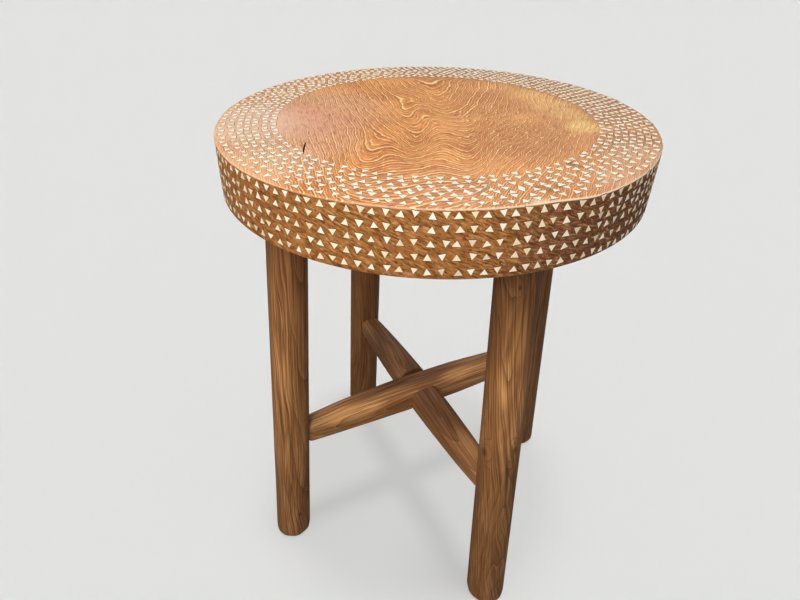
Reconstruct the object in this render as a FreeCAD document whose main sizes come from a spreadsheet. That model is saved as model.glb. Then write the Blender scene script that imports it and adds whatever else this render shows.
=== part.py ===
import FreeCAD, Part
import math
import os
import Sketcher
from FreeCAD import Placement, Rotation, Vector

# Round teak side table: a thick slab with a shell-inlaid rim and border, four splayed
# posts tenoned into the slab, and two stretchers halved across each other.
# Millimetres, +Z up. The floor is Z = 0 and the slab's axis is the Z axis. The posts
# stand on the X and Y axes, and each stretcher joins two opposite posts.

doc = FreeCAD.newDocument("side_table")

# The driving sizes: the alias of each, its value and what it is
SIZES = [
    ("stool_height", 600, "floor to the slab's top face"),
    ("overrun", 5, "how far a cut runs past the wood it opens"),
    ("glue_gap", 0.15, "clearance on each side of a tenon or a halving"),

    ("slab_diameter", 460, "diameter of the slab"),
    ("slab_thickness", 60, "thickness of the slab"),
    ("slab_arris", 1.8, "worn bevel along the slab's upper and lower edges"),

    ("post_inset", 59, "slab's edge to a post's axis, at the slab's underside"),
    ("post_splay", 41, "how much further out a post stands on the floor"),
    ("post_head_diameter", 46, "diameter of a post over its corners, at the slab"),
    ("post_head_width", 45, "width of a post across its broad flats, at the slab"),
    ("post_foot_diameter", 52, "diameter of a post over its corners, above its rounded foot"),
    ("post_foot_width", 51, "width of a post across its broad flats, above its rounded foot"),
    ("foot_round", 6, "rounding round the foot"),
    ("post_tenon_width", 26, "side of the square tenon on the head of a post"),
    ("post_tenon_length", 34, "how far that tenon enters the slab"),
    ("post_tenon_root", 12, "how far that tenon is drawn down inside the post"),
    ("tenon_end_gap", 1, "free space past the end of a tenon"),

    ("stretcher_height", 200, "floor to the middle of the upper stretcher"),
    ("upper_depth", 47, "depth of the upper stretcher where they cross"),
    ("lower_depth", 44, "depth of the lower stretcher where they cross"),
    ("middle_width", 42, "width of both where they cross"),
    ("middle_bevel", 10, "bevel of their arrises where they cross"),
    ("end_depth", 28, "depth of both at the posts"),
    ("end_width", 24, "width of both at the posts"),
    ("end_bevel", 7, "bevel of their arrises at the posts"),
    ("shoulder_bevel", 3, "bevel round a stretcher's shoulder"),
    ("bar_tenon_width", 12, "width of the flat tenon on a stretcher's end"),
    ("bar_tenon_depth", 18, "depth of that tenon"),
    ("bar_tenon_length", 20, "how far that tenon enters the post"),

    ("chip_stand", 0.4, "how far a chip stands out of the wood"),
    ("border_margin", 6.5, "bare wood between the slab's edge and the outermost chips"),
    ("border_width", 49.4, "outermost ring to innermost ring"),
    ("top_chip_width", 6, "width of a chip on the top, along its ring"),
    ("top_chip_height", 5.2, "height of a chip on the top, across its ring"),
    ("top_chip_pitch", 10.1, "spacing of the chips along a ring"),
    ("edge_margin_above", 2.6, "bare wood between the top face and the highest row"),
    ("edge_margin_below", 4.9, "bare wood between the lowest row and the underside"),
    ("side_chip_width", 7, "width of a chip on the edge, along its row"),
    ("side_chip_height", 5.6, "height of a chip on the edge"),
    ("side_chip_pitch", 11.4, "spacing of the chips along a row"),
]

sheet = doc.addObject("Spreadsheet::Sheet", "sizes")
for row, (alias, value, meaning) in enumerate(SIZES, 1):
    sheet.set(f"A{row}", meaning)
    sheet.set(f"B{row}", str(value))
    sheet.setAlias(f"B{row}", alias)
doc.recompute()


def size(alias):
    return float(sheet.get(alias))


# Drawing helpers

def origin_plane(body, role):
    return next(item for item in body.Origin.OriginFeatures if item.Role == role)


def add_sketch(body, name, role, offsets):
    """A sketch on one of the body's origin planes, shifted by the given expressions."""
    sketch = body.newObject("Sketcher::SketchObject", name)
    sketch.AttachmentSupport = [(origin_plane(body, role), "")]
    sketch.MapMode = "FlatFace"
    for axis, expression in offsets.items():
        sketch.setExpression(f"AttachmentOffset.Base.{axis}", expression)
    return sketch


def add_outline(sketch, corners):
    """Closed run of straight edges through the corners. Returns the edges' numbers."""
    edges = []
    for start, end in zip(corners, corners[1:] + corners[:1]):
        line = Part.LineSegment(Vector(start[0], start[1], 0), Vector(end[0], end[1], 0))
        edges.append(sketch.addGeometry(line, False))
    for edge, following in zip(edges, edges[1:] + edges[:1]):
        sketch.addConstraint(Sketcher.Constraint("Coincident", edge, 2, following, 1))
    return edges


def bind(sketch, name, expression, *constraint):
    """Add one named dimension and tie it to an expression on the sheet's sizes."""
    index = sketch.addConstraint(Sketcher.Constraint(*constraint))
    sketch.renameConstraint(index, name)
    sketch.setExpression(f"Constraints.{name}", expression)


def place_primitive(feature, body, offsets, turn=None):
    """Attach a primitive to the body's level plane, shifted and tilted by expressions."""
    feature.AttachmentSupport = [(origin_plane(body, "XY_Plane"), "")]
    feature.MapMode = "FlatFace"
    if turn is not None:
        # The tilt is about Y. Any angle but zero keeps that axis until the expression is read
        feature.AttachmentOffset = Placement(Vector(0, 0, 0), Rotation(Vector(0, 1, 0), -1))
        feature.setExpression("AttachmentOffset.Rotation.Angle", turn)
    for axis, expression in offsets.items():
        feature.setExpression(f"AttachmentOffset.Base.{axis}", expression)


def edge_names(shape, wanted):
    """Names of the shape's edges that the test accepts, for a fillet or a chamfer."""
    return [f"Edge{number}" for number, edge in enumerate(shape.Edges, 1) if wanted(edge)]


def is_level_at(height):
    def test(edge):
        box = edge.BoundBox
        return round(box.ZLength, 4) == 0 and round(box.ZMin - height, 4) == 0
    return test


# Posts and the slab share the line of each post's axis

UNDERSIDE = "(sizes.stool_height - sizes.slab_thickness)"
HEAD_RADIUS = "(sizes.slab_diameter / 2 - sizes.post_inset)"
FOOT_RADIUS = f"({HEAD_RADIUS} + sizes.post_splay)"
LEAN = f"(sizes.post_splay / {UNDERSIDE})"
LEAN_ANGLE = f"atan({LEAN})"
POST_NAMES = ("leg_right", "leg_back", "leg_left", "leg_front")


def underside():
    return size("stool_height") - size("slab_thickness")


def foot_radius():
    return size("slab_diameter") / 2 - size("post_inset") + size("post_splay")


def lean_box(box, body, below, above, clearance):
    """A square box along a post's axis, from below the slab's underside to above it."""
    width = f"(sizes.post_tenon_width + 2 * {clearance})"
    place_primitive(box, body, {
        "x": f"{HEAD_RADIUS} + {below} * {LEAN} - {width} / 2 * cos({LEAN_ANGLE})",
        "y": f"-{width} / 2",
        "z": f"{UNDERSIDE} - {below} - {width} / 2 * sin({LEAN_ANGLE})",
    }, f"-{LEAN_ANGLE}")
    box.setExpression("Length", width)
    box.setExpression("Width", width)
    box.setExpression("Height", f"{below} + {above}")
    doc.recompute()


# Top slab: one round of solid teak, with a blind square mortise for each post


def build_slab():
    body = doc.addObject("PartDesign::Body", "top_slab")
    outline = add_sketch(body, "slab_outline", "XY_Plane", {"z": UNDERSIDE})
    rim = Part.Circle(Vector(0, 0, 0), Vector(0, 0, 1), size("slab_diameter") / 2)
    circle = outline.addGeometry(rim, False)
    outline.addConstraint(Sketcher.Constraint("Coincident", circle, 3, -1, 1))
    bind(outline, "diameter", "sizes.slab_diameter", "Diameter", circle, size("slab_diameter"))
    slab = body.newObject("PartDesign::Pad", "slab_round")
    slab.Profile = outline
    slab.setExpression("Length", "sizes.slab_thickness")
    doc.recompute()

    arris = body.newObject("PartDesign::Chamfer", "slab_edges")
    is_lower, is_upper = is_level_at(underside()), is_level_at(size("stool_height"))
    arris.Base = (slab, edge_names(slab.Shape, lambda edge: is_lower(edge) or is_upper(edge)))
    arris.setExpression("Size", "sizes.slab_arris")
    doc.recompute()

    mortise = body.newObject("PartDesign::SubtractiveBox", "post_mortise")
    depth = "(sizes.post_tenon_length + sizes.tenon_end_gap)"
    lean_box(mortise, body, "sizes.overrun", depth, "sizes.glue_gap")
    mortises = body.newObject("PartDesign::PolarPattern", "post_mortises")
    mortises.Originals = [mortise]
    mortises.Axis = (origin_plane(body, "Z_Axis"), [""])
    mortises.Angle = 360
    mortises.Occurrences = len(POST_NAMES)
    body.Tip = mortises
    doc.recompute()
    return body


# Posts: shaved round with eight broad flats and eight narrow ones between them, thicker
# at the foot. The head is cut level and bears on the slab, with a square tenon above it.
# The foot is cut level and rounded over.

BROAD_FLAT_COUNT = 8
# The rounded foot: each step's height, and how far it is drawn in
FOOT_STEP_SHARES = ((0, 1), (0.29, 0.29), (1, 0))
HEAD_FACE = f"({HEAD_RADIUS} - sizes.post_head_width / 2)"
FOOT_FACE = f"({FOOT_RADIUS} - {LEAN} * sizes.foot_round - sizes.post_foot_width / 2)"


def inner_face(height):
    """How far from the middle of the table a post's inner flat stands at this height."""
    rise = f"(({height} - sizes.foot_round) / ({UNDERSIDE} - sizes.foot_round))"
    return f"({FOOT_FACE} - ({FOOT_FACE} - {HEAD_FACE}) * {rise})"


def post_section(body, name, height, diameter, width):
    """A level section of a post, with one broad flat facing the middle of the table."""
    sketch = add_sketch(body, name, "XY_Plane", {"z": height})
    reach = foot_radius()
    radius = size("post_foot_diameter") / 2
    half_flat = math.acos(size("post_foot_width") / size("post_foot_diameter"))
    corners = []
    for number in range(BROAD_FLAT_COUNT):
        middle = math.tau * number / BROAD_FLAT_COUNT
        for turn in (middle - half_flat, middle + half_flat):
            corners.append((reach + radius * math.cos(turn), radius * math.sin(turn)))
    sides = add_outline(sketch, corners)
    broad = sides[0::2]
    circle = sketch.addGeometry(Part.Circle(Vector(reach, 0, 0), Vector(0, 0, 1), radius), True)
    for side in sides:
        sketch.addConstraint(Sketcher.Constraint("PointOnObject", side, 1, circle))
    for side in broad[1:]:
        sketch.addConstraint(Sketcher.Constraint("Equal", broad[0], side))
    for side in broad[0::4]:
        sketch.addConstraint(Sketcher.Constraint("Vertical", side))
    for side in broad[2::4]:
        sketch.addConstraint(Sketcher.Constraint("Horizontal", side))
    sketch.addConstraint(Sketcher.Constraint("Angle", broad[1], math.radians(135)))
    sketch.addConstraint(Sketcher.Constraint("Parallel", broad[1], broad[5]))
    sketch.addConstraint(Sketcher.Constraint("Perpendicular", broad[1], broad[3]))
    sketch.addConstraint(Sketcher.Constraint("Parallel", broad[3], broad[7]))
    sketch.addConstraint(Sketcher.Constraint("PointOnObject", circle, 3, -1))
    axis = f"{FOOT_RADIUS} - {LEAN} * {height}"
    bind(sketch, "axis", axis, "DistanceX", -1, 1, circle, 3, reach)
    bind(sketch, "width", width, "DistanceX", broad[4], 1, broad[0], 1, size("post_foot_width"))
    bind(sketch, "diameter", diameter, "Diameter", circle, 2 * radius)
    return sketch


def build_post(name, turn, bar_centre):
    body = doc.addObject("PartDesign::Body", name)
    sections = []
    for number, (height_share, inset_share) in enumerate(FOOT_STEP_SHARES, 1):
        height = f"(sizes.foot_round * {height_share})"
        drawn_in = f"2 * sizes.foot_round * {inset_share}"
        sections.append(post_section(body, f"{name}_foot_{number}", height,
                                     f"sizes.post_foot_diameter - {drawn_in}",
                                     f"sizes.post_foot_width - {drawn_in}"))
    sections.append(post_section(body, f"{name}_head", UNDERSIDE,
                                 "sizes.post_head_diameter", "sizes.post_head_width"))
    post = body.newObject("PartDesign::AdditiveLoft", f"{name}_post")
    post.Profile = sections[0]
    post.Sections = sections[1:]
    post.Ruled = True
    doc.recompute()

    tenon = body.newObject("PartDesign::AdditiveBox", f"{name}_tenon")
    lean_box(tenon, body, "sizes.post_tenon_root", "sizes.post_tenon_length", "0")

    mortise = body.newObject("PartDesign::SubtractiveBox", f"{name}_bar_mortise")
    width = "(sizes.bar_tenon_width + 2 * sizes.glue_gap)"
    depth = "(sizes.bar_tenon_depth + 2 * sizes.glue_gap)"
    place_primitive(mortise, body, {
        "x": f"{inner_face(bar_centre)} - sizes.overrun",
        "y": f"-{width} / 2",
        "z": f"{bar_centre} - {depth} / 2",
    })
    mortise.setExpression("Length", "sizes.overrun + sizes.bar_tenon_length + sizes.tenon_end_gap")
    mortise.setExpression("Width", width)
    mortise.setExpression("Height", depth)
    body.Placement = Placement(Vector(0, 0, 0), Rotation(Vector(0, 0, 1), turn))
    doc.recompute()
    return body


# Stretchers: bars of teak, thick where they cross and whittled thin towards the posts.
# Each is notched to half its depth where they cross. The upper one bridges the lower
# one, and their undersides are level.

UPPER_CENTRE = "sizes.stretcher_height"
LOWER_CENTRE = "(sizes.stretcher_height - (sizes.upper_depth - sizes.lower_depth) / 2)"
# Where the outline of a stretcher turns, along each half of it
STATION_SHARES = (-1, -0.65, -0.32, 0, 0.32, 0.65, 1)
# Further out than any corner of the timber that a stretcher is planed from
CLEAR_OF_BAR = "(sizes.upper_depth + sizes.middle_width)"


def half_outline(turn, depth, share):
    """How far a stretcher's outline lies from its middle line, seen at this turn."""

    def swell(middle, end):
        return f"(sizes.{middle} - (sizes.{middle} - sizes.{end}) * {share ** 2})"

    width, height = swell("middle_width", "end_width"), swell(depth, "end_depth")
    if turn == 0:
        return f"{height} / 2"
    if turn == 90:
        return f"{width} / 2"
    bevel = swell("middle_bevel", "end_bevel")
    return f"({width} / 2 + {height} / 2 - {bevel}) * cos(45)"


def plane_outline(body, name, centre, depth, turn):
    """Cut away what lies outside a stretcher's outline, seen square to its length at this turn."""
    sketch = add_sketch(body, f"{name}_outline", "XZ_Plane", {"y": centre})
    sketch.AttachmentOffset = Placement(Vector(0, 0, 0), Rotation(Vector(1, 0, 0), turn))
    far, high = foot_radius(), size("upper_depth")
    start = [(far * share, high / 2) for share in STATION_SHARES] + [(far, high), (-far, high)]
    upper = add_outline(sketch, start)
    lower = add_outline(sketch, [(along, -up) for along, up in start])
    for above, below in zip(upper, lower):
        sketch.addConstraint(Sketcher.Constraint("Symmetric", above, 1, below, 1, -1))
    points = [(f"{FOOT_FACE} * {share}", half_outline(turn, depth, share)) for share in STATION_SHARES]
    points += [(FOOT_FACE, CLEAR_OF_BAR), (f"-{FOOT_FACE}", CLEAR_OF_BAR)]
    for side, (along, up) in zip(upper, points):
        bind(sketch, f"along_{side}", along, "DistanceX", -1, 1, side, 1, far)
        bind(sketch, f"up_{side}", up, "DistanceY", -1, 1, side, 1, high)
    waste = body.newObject("PartDesign::Pocket", name)
    waste.Profile = sketch
    waste.Type = "ThroughAll"
    waste.SideType = "Symmetric"
    doc.recompute()


def build_stretcher(name, turn, centre, depth, notch_floor, notch_ceiling):
    body = doc.addObject("PartDesign::Body", name)
    timber = body.newObject("PartDesign::AdditiveBox", f"{name}_timber")
    place_primitive(timber, body, {
        "x": f"-{FOOT_FACE}",
        "y": "-(sizes.middle_width / 2 + sizes.overrun)",
        "z": f"{centre} - sizes.{depth} / 2 - sizes.overrun",
    })
    timber.setExpression("Length", f"2 * {FOOT_FACE}")
    timber.setExpression("Width", "sizes.middle_width + 2 * sizes.overrun")
    timber.setExpression("Height", f"sizes.{depth} + 2 * sizes.overrun")
    doc.recompute()
    plane_outline(body, f"{name}_sides", centre, depth, 90)
    plane_outline(body, f"{name}_depth", centre, depth, 0)
    plane_outline(body, f"{name}_bevels", centre, depth, 45)
    plane_outline(body, f"{name}_other_bevels", centre, depth, -45)

    # Both ends are scribed to the lean of the posts
    ends = add_sketch(body, f"{name}_ends", "XZ_Plane", {})
    far = foot_radius()
    right = add_outline(ends, [(far / 2, 0), (far, 0), (far, far), (far / 3, far)])
    left = add_outline(ends, [(-far / 2, 0), (-far, 0), (-far, far), (-far / 3, far)])
    for side, mirrored in zip(right, left):
        ends.addConstraint(Sketcher.Constraint("Symmetric", side, 1, mirrored, 1, -2))
    above = f"({centre} + sizes.{depth})"
    below = f"({centre} - sizes.{depth})"
    corners = (
        (inner_face(below), below), (FOOT_RADIUS, below),
        (FOOT_RADIUS, above), (inner_face(above), above),
    )
    for side, (out, up) in zip(right, corners):
        bind(ends, f"out_{side}", out, "DistanceX", -1, 1, side, 1, far)
        bind(ends, f"up_{side}", up, "DistanceY", -1, 1, side, 1, far)
    trim = body.newObject("PartDesign::Pocket", f"{name}_shoulders")
    trim.Profile = ends
    trim.Type = "ThroughAll"
    trim.SideType = "Symmetric"
    doc.recompute()

    reach = max(vertex.X for vertex in trim.Shape.Vertexes) - size("end_bevel")
    bevel = body.newObject("PartDesign::Chamfer", f"{name}_shoulder_bevel")
    bevel.Base = (trim, edge_names(trim.Shape, lambda edge: abs(edge.CenterOfMass.x) > reach))
    bevel.setExpression("Size", "sizes.shoulder_bevel")
    doc.recompute()

    tenons = body.newObject("PartDesign::AdditiveBox", f"{name}_tenons")
    tip = f"({inner_face(centre)} + sizes.bar_tenon_length)"
    place_primitive(tenons, body, {
        "x": f"-{tip}",
        "y": "-sizes.bar_tenon_width / 2",
        "z": f"{centre} - sizes.bar_tenon_depth / 2",
    })
    tenons.setExpression("Length", f"2 * {tip}")
    tenons.setExpression("Width", "sizes.bar_tenon_width")
    tenons.setExpression("Height", "sizes.bar_tenon_depth")
    doc.recompute()

    notch = body.newObject("PartDesign::SubtractiveBox", f"{name}_halving")
    place_primitive(notch, body, {
        "x": "-(sizes.middle_width / 2 + sizes.glue_gap)",
        "y": "-sizes.middle_width",
        "z": notch_floor,
    })
    notch.setExpression("Length", "sizes.middle_width + 2 * sizes.glue_gap")
    notch.setExpression("Width", "2 * sizes.middle_width")
    notch.setExpression("Height", f"{notch_ceiling} - {notch_floor}")
    body.Placement = Placement(Vector(0, 0, 0), Rotation(Vector(0, 0, 1), turn))
    doc.recompute()
    return body


# Shell chips: thin triangles of shell in rings on the top and in rows round the edge,
# with every other chip turned about. Each bears on the wood with its back.

# Where each ring lies, from the outermost to the innermost
RING_SHARES = (0, 0.19, 0.35, 0.49, 0.64, 0.83, 1)
# Where each row lies, from the highest to the lowest
ROW_SHARES = (0, 0.234, 0.48, 0.735, 1)


def chip_ring(name, width, height, radius, pitch, seat):
    """A closed ring of chips, the first of them at the seat and every other turned about."""
    corners = [
        Vector(-width / 2, -height / 2, 0),
        Vector(width / 2, -height / 2, 0),
        Vector(0, height / 2, 0),
    ]
    outline = Part.Face(Part.makePolygon(corners + corners[:1]))
    chip = outline.extrude(Vector(0, 0, size("chip_stand")))
    pairs = round(math.pi * radius / pitch)
    chips = []
    for number in range(2 * pairs):
        onward = Placement(Vector(0, 0, 0), Rotation(Vector(0, 0, 1), 180 * number / pairs))
        about = Placement(Vector(0, 0, 0), Rotation(Vector(0, 0, 1), 180 * (number % 2)))
        piece = chip.copy()
        piece.Placement = onward.multiply(seat).multiply(about)
        chips.append(piece)
    ring = doc.addObject("Part::Feature", name)
    ring.Shape = Part.makeCompound(chips)
    return ring


def build_top_rings():
    rings = []
    width, height, pitch = size("top_chip_width"), size("top_chip_height"), size("top_chip_pitch")
    outermost = size("slab_diameter") / 2 - size("border_margin") - height / 2
    for number, share in enumerate(RING_SHARES, 1):
        radius = outermost - share * size("border_width")
        seat = Placement(Vector(0, radius, size("stool_height")), Rotation())
        rings.append(chip_ring(f"shell_top_ring_{number}", width, height, radius, pitch, seat))
    return rings


def build_side_rows():
    rows = []
    width, height, pitch = size("side_chip_width"), size("side_chip_height"), size("side_chip_pitch")
    radius = size("slab_diameter") / 2
    highest = size("stool_height") - size("edge_margin_above") - height / 2
    lowest = underside() + size("edge_margin_below") + height / 2
    upright = Rotation(Vector(1, 0, 0), 90)
    for number, share in enumerate(ROW_SHARES, 1):
        seat = Placement(Vector(0, -radius, highest - share * (highest - lowest)), upright)
        rows.append(chip_ring(f"shell_side_row_{number}", width, height, radius, pitch, seat))
    return rows


LAP = LOWER_CENTRE
UNDER_UPPER = f"({UPPER_CENTRE} - sizes.upper_depth / 2 - sizes.overrun)"
OVER_LOWER = f"({LOWER_CENTRE} + sizes.lower_depth / 2 + sizes.overrun)"

pieces = [build_slab()]
for number, name in enumerate(POST_NAMES):
    bar_centre = UPPER_CENTRE if number % 2 == 0 else LOWER_CENTRE
    pieces.append(build_post(name, 360 * number / len(POST_NAMES), bar_centre))
pieces.append(build_stretcher("stretcher_upper", 0, UPPER_CENTRE, "upper_depth", UNDER_UPPER, LAP))
pieces.append(build_stretcher("stretcher_lower", 90, LOWER_CENTRE, "lower_depth", LAP, OVER_LOWER))
pieces += build_top_rings() + build_side_rows()

doc.recompute()
failed = [item.Name for item in doc.Objects if {"Invalid", "Error"} & set(item.State)]
failed += [piece.Label for piece in pieces if piece.Shape.isNull() or not piece.Shape.isValid()]
if failed:
    raise RuntimeError("These did not build: " + ", ".join(failed))
os.makedirs("parts", exist_ok=True)
for piece in pieces:
    piece.Shape.exportStep(f"parts/{piece.Label}.step")
    print(piece.Label, len(piece.Shape.Solids), round(piece.Shape.Volume))
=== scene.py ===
import math
import bmesh
import bpy
from mathutils import Matrix, Vector, noise


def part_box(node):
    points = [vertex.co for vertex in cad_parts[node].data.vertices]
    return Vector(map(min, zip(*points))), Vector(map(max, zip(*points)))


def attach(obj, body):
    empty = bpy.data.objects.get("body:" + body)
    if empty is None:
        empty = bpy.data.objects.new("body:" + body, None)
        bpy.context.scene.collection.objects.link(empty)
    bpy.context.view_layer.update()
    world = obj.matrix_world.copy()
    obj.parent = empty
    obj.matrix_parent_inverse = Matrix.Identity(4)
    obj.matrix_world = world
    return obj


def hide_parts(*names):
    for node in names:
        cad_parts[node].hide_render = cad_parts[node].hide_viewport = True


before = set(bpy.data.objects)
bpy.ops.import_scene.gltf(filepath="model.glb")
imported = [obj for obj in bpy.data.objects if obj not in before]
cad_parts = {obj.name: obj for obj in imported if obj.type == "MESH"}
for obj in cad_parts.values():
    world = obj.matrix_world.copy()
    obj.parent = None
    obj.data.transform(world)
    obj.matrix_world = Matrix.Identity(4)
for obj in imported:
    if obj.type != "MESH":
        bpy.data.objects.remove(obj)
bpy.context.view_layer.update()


# Camera, floor and light
# The photograph looks down on the table from in front and a little to the left, from
# about a metre away. The floor and the backdrop are plain and pale, the key light comes
# from the upper left, and wide lights from above leave only faint, soft shadows.

MILLIMETRE = 0.001
PHOTO_WIDTH_PX = 800
FOCAL_LENGTH_PX = 569.4
PRINCIPAL_POINT_OFFSET_PX = (-19.5, 6.5)
CAMERA_PLACE = Vector((-0.3158, -0.5332, 0.7903))
CAMERA_HEADING = math.radians(64.59)
CAMERA_DIP = math.radians(35.52)


def place_in_scene(name, data):
    """A new object of the scene, at the origin and unturned, from its mesh, lamp or lens."""
    placed = bpy.data.objects.new(name, data)
    bpy.context.collection.objects.link(placed)
    return placed


camera = place_in_scene("camera", bpy.data.cameras.new("camera"))
camera.location = CAMERA_PLACE
ahead = Vector((
    math.cos(CAMERA_DIP) * math.cos(CAMERA_HEADING),
    math.cos(CAMERA_DIP) * math.sin(CAMERA_HEADING),
    -math.sin(CAMERA_DIP),
))
camera.rotation_euler = ahead.to_track_quat("-Z", "Y").to_euler()
camera.data.lens = FOCAL_LENGTH_PX / PHOTO_WIDTH_PX * camera.data.sensor_width
camera.data.shift_x = -PRINCIPAL_POINT_OFFSET_PX[0] / PHOTO_WIDTH_PX
camera.data.shift_y = PRINCIPAL_POINT_OFFSET_PX[1] / PHOTO_WIDTH_PX
camera.data.clip_end = 100
bpy.context.scene.camera = camera
bpy.context.scene.view_settings.view_transform = "Standard"


def linear(hex_colour):
    """An sRGB hex colour as the linear RGBA that Blender works in."""
    channels = [int(hex_colour[start:start + 2], 16) / 255 for start in (1, 3, 5)]
    toned = [c / 12.92 if c <= 0.04045 else ((c + 0.055) / 1.055) ** 2.4 for c in channels]
    return (*toned, 1)


def add_node(tree, kind, inputs=(), **settings):
    """Add a node with its settings. Each input is a value, a socket, or a node's first output."""
    node = tree.nodes.new(kind)
    for name, value in settings.items():
        setattr(node, name, value)
    pairs = inputs.items() if isinstance(inputs, dict) else enumerate(inputs)
    for key, value in pairs:
        if isinstance(value, bpy.types.Node):
            value = value.outputs[0]
        if isinstance(value, bpy.types.NodeSocket):
            tree.links.new(value, node.inputs[key])
        else:
            node.inputs[key].default_value = value
    return node


def new_material(name):
    """A material with an empty node tree."""
    material = bpy.data.materials.new(name)
    material.use_nodes = True
    material.node_tree.nodes.clear()
    return material


BACKDROP = "#E1E1DF"
SKY_LIGHT = 0.46
SKY_COLOUR = "#EEF1F6"
FLOOR_HALF_SIZE = 30
FLOOR_OWN_GLOW = 0.612
FLOOR_PAPER = "#979795"
FLOOR_BOUNCE = "#6E675F"

world = bpy.data.worlds.new("studio")
bpy.context.scene.world = world
world.use_nodes = True
sky = world.node_tree
sky.nodes.clear()
seen = add_node(sky, "ShaderNodeBackground", [linear(BACKDROP), 1])
lighting = add_node(sky, "ShaderNodeBackground", [linear(SKY_COLOUR), SKY_LIGHT])
camera_ray = add_node(sky, "ShaderNodeLightPath").outputs["Is Camera Ray"]
either = add_node(sky, "ShaderNodeMixShader", [camera_ray, lighting, seen])
add_node(sky, "ShaderNodeOutputWorld", [either])

# Paper that shows a shadow only faintly, and throws little light up onto the legs
paper = new_material("matt_backdrop_paper")
tree = paper.node_tree
matt = add_node(tree, "ShaderNodeBsdfDiffuse", [linear(FLOOR_PAPER)])
glow = add_node(tree, "ShaderNodeEmission", [linear(BACKDROP), FLOOR_OWN_GLOW])
both = add_node(tree, "ShaderNodeAddShader", [matt, glow])
bounce = add_node(tree, "ShaderNodeBsdfDiffuse", [linear(FLOOR_BOUNCE)])
camera_ray = add_node(tree, "ShaderNodeLightPath").outputs["Is Camera Ray"]
either = add_node(tree, "ShaderNodeMixShader", [camera_ray, bounce, both])
add_node(tree, "ShaderNodeOutputMaterial", [either])

floor_mesh = bpy.data.meshes.new("floor")
reach = FLOOR_HALF_SIZE
floor_mesh.from_pydata(
    [(-reach, -reach, 0), (reach, -reach, 0), (reach, reach, 0), (-reach, reach, 0)], [], [(0, 1, 2, 3)]
)
floor = place_in_scene("floor", floor_mesh)
floor_mesh.materials.append(paper)


def add_light(name, kind, strength, comes_from):
    """A lamp at the origin, turned as if it shone there from a place."""
    light = place_in_scene(name, bpy.data.lights.new(name, kind))
    light.rotation_euler = comes_from.to_track_quat("Z", "Y").to_euler()
    light.data.energy = strength
    return light


# A square softbox to the left of the camera, near enough to fade downwards. It passes over
# the floor, so that the table throws only soft shadows from above
KEY_PLACE = Vector((-1.05, -0.75, 1.3))
KEY_AIM = Vector((0, 0, 0.45))
KEY_SIZE = 0.8
KEY_WATTS = 15.5
KEY_COLOUR = "#FFF3E4"
key = add_light("key_light", "AREA", KEY_WATTS, KEY_PLACE - KEY_AIM)
key.location = KEY_PLACE
key.data.size = KEY_SIZE
key.data.color = linear(KEY_COLOUR)[:3]
not_lit_by_key = bpy.data.collections.new("not_lit_by_key")
not_lit_by_key.objects.link(floor)
key.light_linking.receiver_collection = not_lit_by_key
not_lit_by_key.collection_objects[0].light_linking.link_state = "EXCLUDE"

# An overhead bank of lamps, whose shadow is the soft round one under the slab
TOP_STRENGTH = 0.9
TOP_SOFTNESS = math.radians(10)
top_light = add_light("top_light", "SUN", TOP_STRENGTH, Vector((0, 0, 1)))
top_light.data.angle = TOP_SOFTNESS

# A wide low fill from the camera's side, for the slab and its shell alone
FILL_STRENGTH = 0.7
FILL_SOFTNESS = math.radians(70)
FILL_FROM = Vector((-0.6, -0.95, 0.22))
fill = add_light("fill_light", "SUN", FILL_STRENGTH, FILL_FROM)
fill.data.angle = FILL_SOFTNESS
fill.data.use_shadow = False
lit_by_fill = bpy.data.collections.new("lit_by_fill")
fill.light_linking.receiver_collection = lit_by_fill

# On the floor alone, the posts and the bars throw faint streaks that run in from the feet
STREAK_STRENGTH = 0.95
STREAK_SOFTNESS = math.radians(11)
STREAK_FROM = Vector((0.1, -0.04, 1))
streak_light = add_light("streak_light", "SUN", STREAK_STRENGTH, STREAK_FROM)
streak_light.data.angle = STREAK_SOFTNESS
floor_alone = bpy.data.collections.new("floor_alone")
floor_alone.objects.link(floor)
streak_light.light_linking.receiver_collection = floor_alone
throws_streaks = bpy.data.collections.new("throws_streaks")
streak_light.light_linking.blocker_collection = throws_streaks


# Slab
# One thick round of plantation teak, turned or sawn round, sanded and waxed. Its rim
# is worn soft, is drawn in a little along the front, and has one shallow kink there.

slab_low, slab_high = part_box("top_slab")
SLAB_RADIUS = slab_high.x
SLAB_TOP = slab_high.z
SLAB_BASE = slab_low.z
SLAB_ARRIS = 1.6 * MILLIMETRE
SLAB_SEGMENTS = 288
ARRIS_STEPS = 4
SIDE_STEPS = 7
TOP_SHARES = (0.28, 0.52, 0.72, 0.88, 1)
BASE_SHARES = (0.8, 0.5, 0.25)
# The rim's upper edge is drawn in along the front, and the kink ends that stretch
DRAWN_IN = 6.5 * MILLIMETRE
DRAWN_IN_FROM = math.radians(-172)
DRAWN_IN_MOST = math.radians(-112)
DRAWN_IN_TO = math.radians(-84)
KINK_SHARE = 0.42
DRAWN_IN_FADE = 1.6
RIM_WAVE = 0.5 * MILLIMETRE
RIM_WAVES = 3
WEAR_WAVES = 9


def smooth_step(value):
    """Ease from 0 to 1, and stay there on either side."""
    value = min(max(value, 0), 1)
    return value * value * (3 - 2 * value)


def rim_inset(angle):
    """How far the slab's upper edge lies inside its full radius, at an angle round the slab."""
    angle = (angle + math.pi) % math.tau - math.pi
    growing = smooth_step((angle - DRAWN_IN_FROM) / (DRAWN_IN_MOST - DRAWN_IN_FROM))
    ending = smooth_step((DRAWN_IN_TO - angle) / (DRAWN_IN_TO - DRAWN_IN_MOST) / KINK_SHARE)
    ripple = noise.noise(Vector((math.cos(angle) * RIM_WAVES, math.sin(angle) * RIM_WAVES, 0)))
    return DRAWN_IN * growing * ending + RIM_WAVE * (0.5 + 0.5 * ripple)


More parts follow.
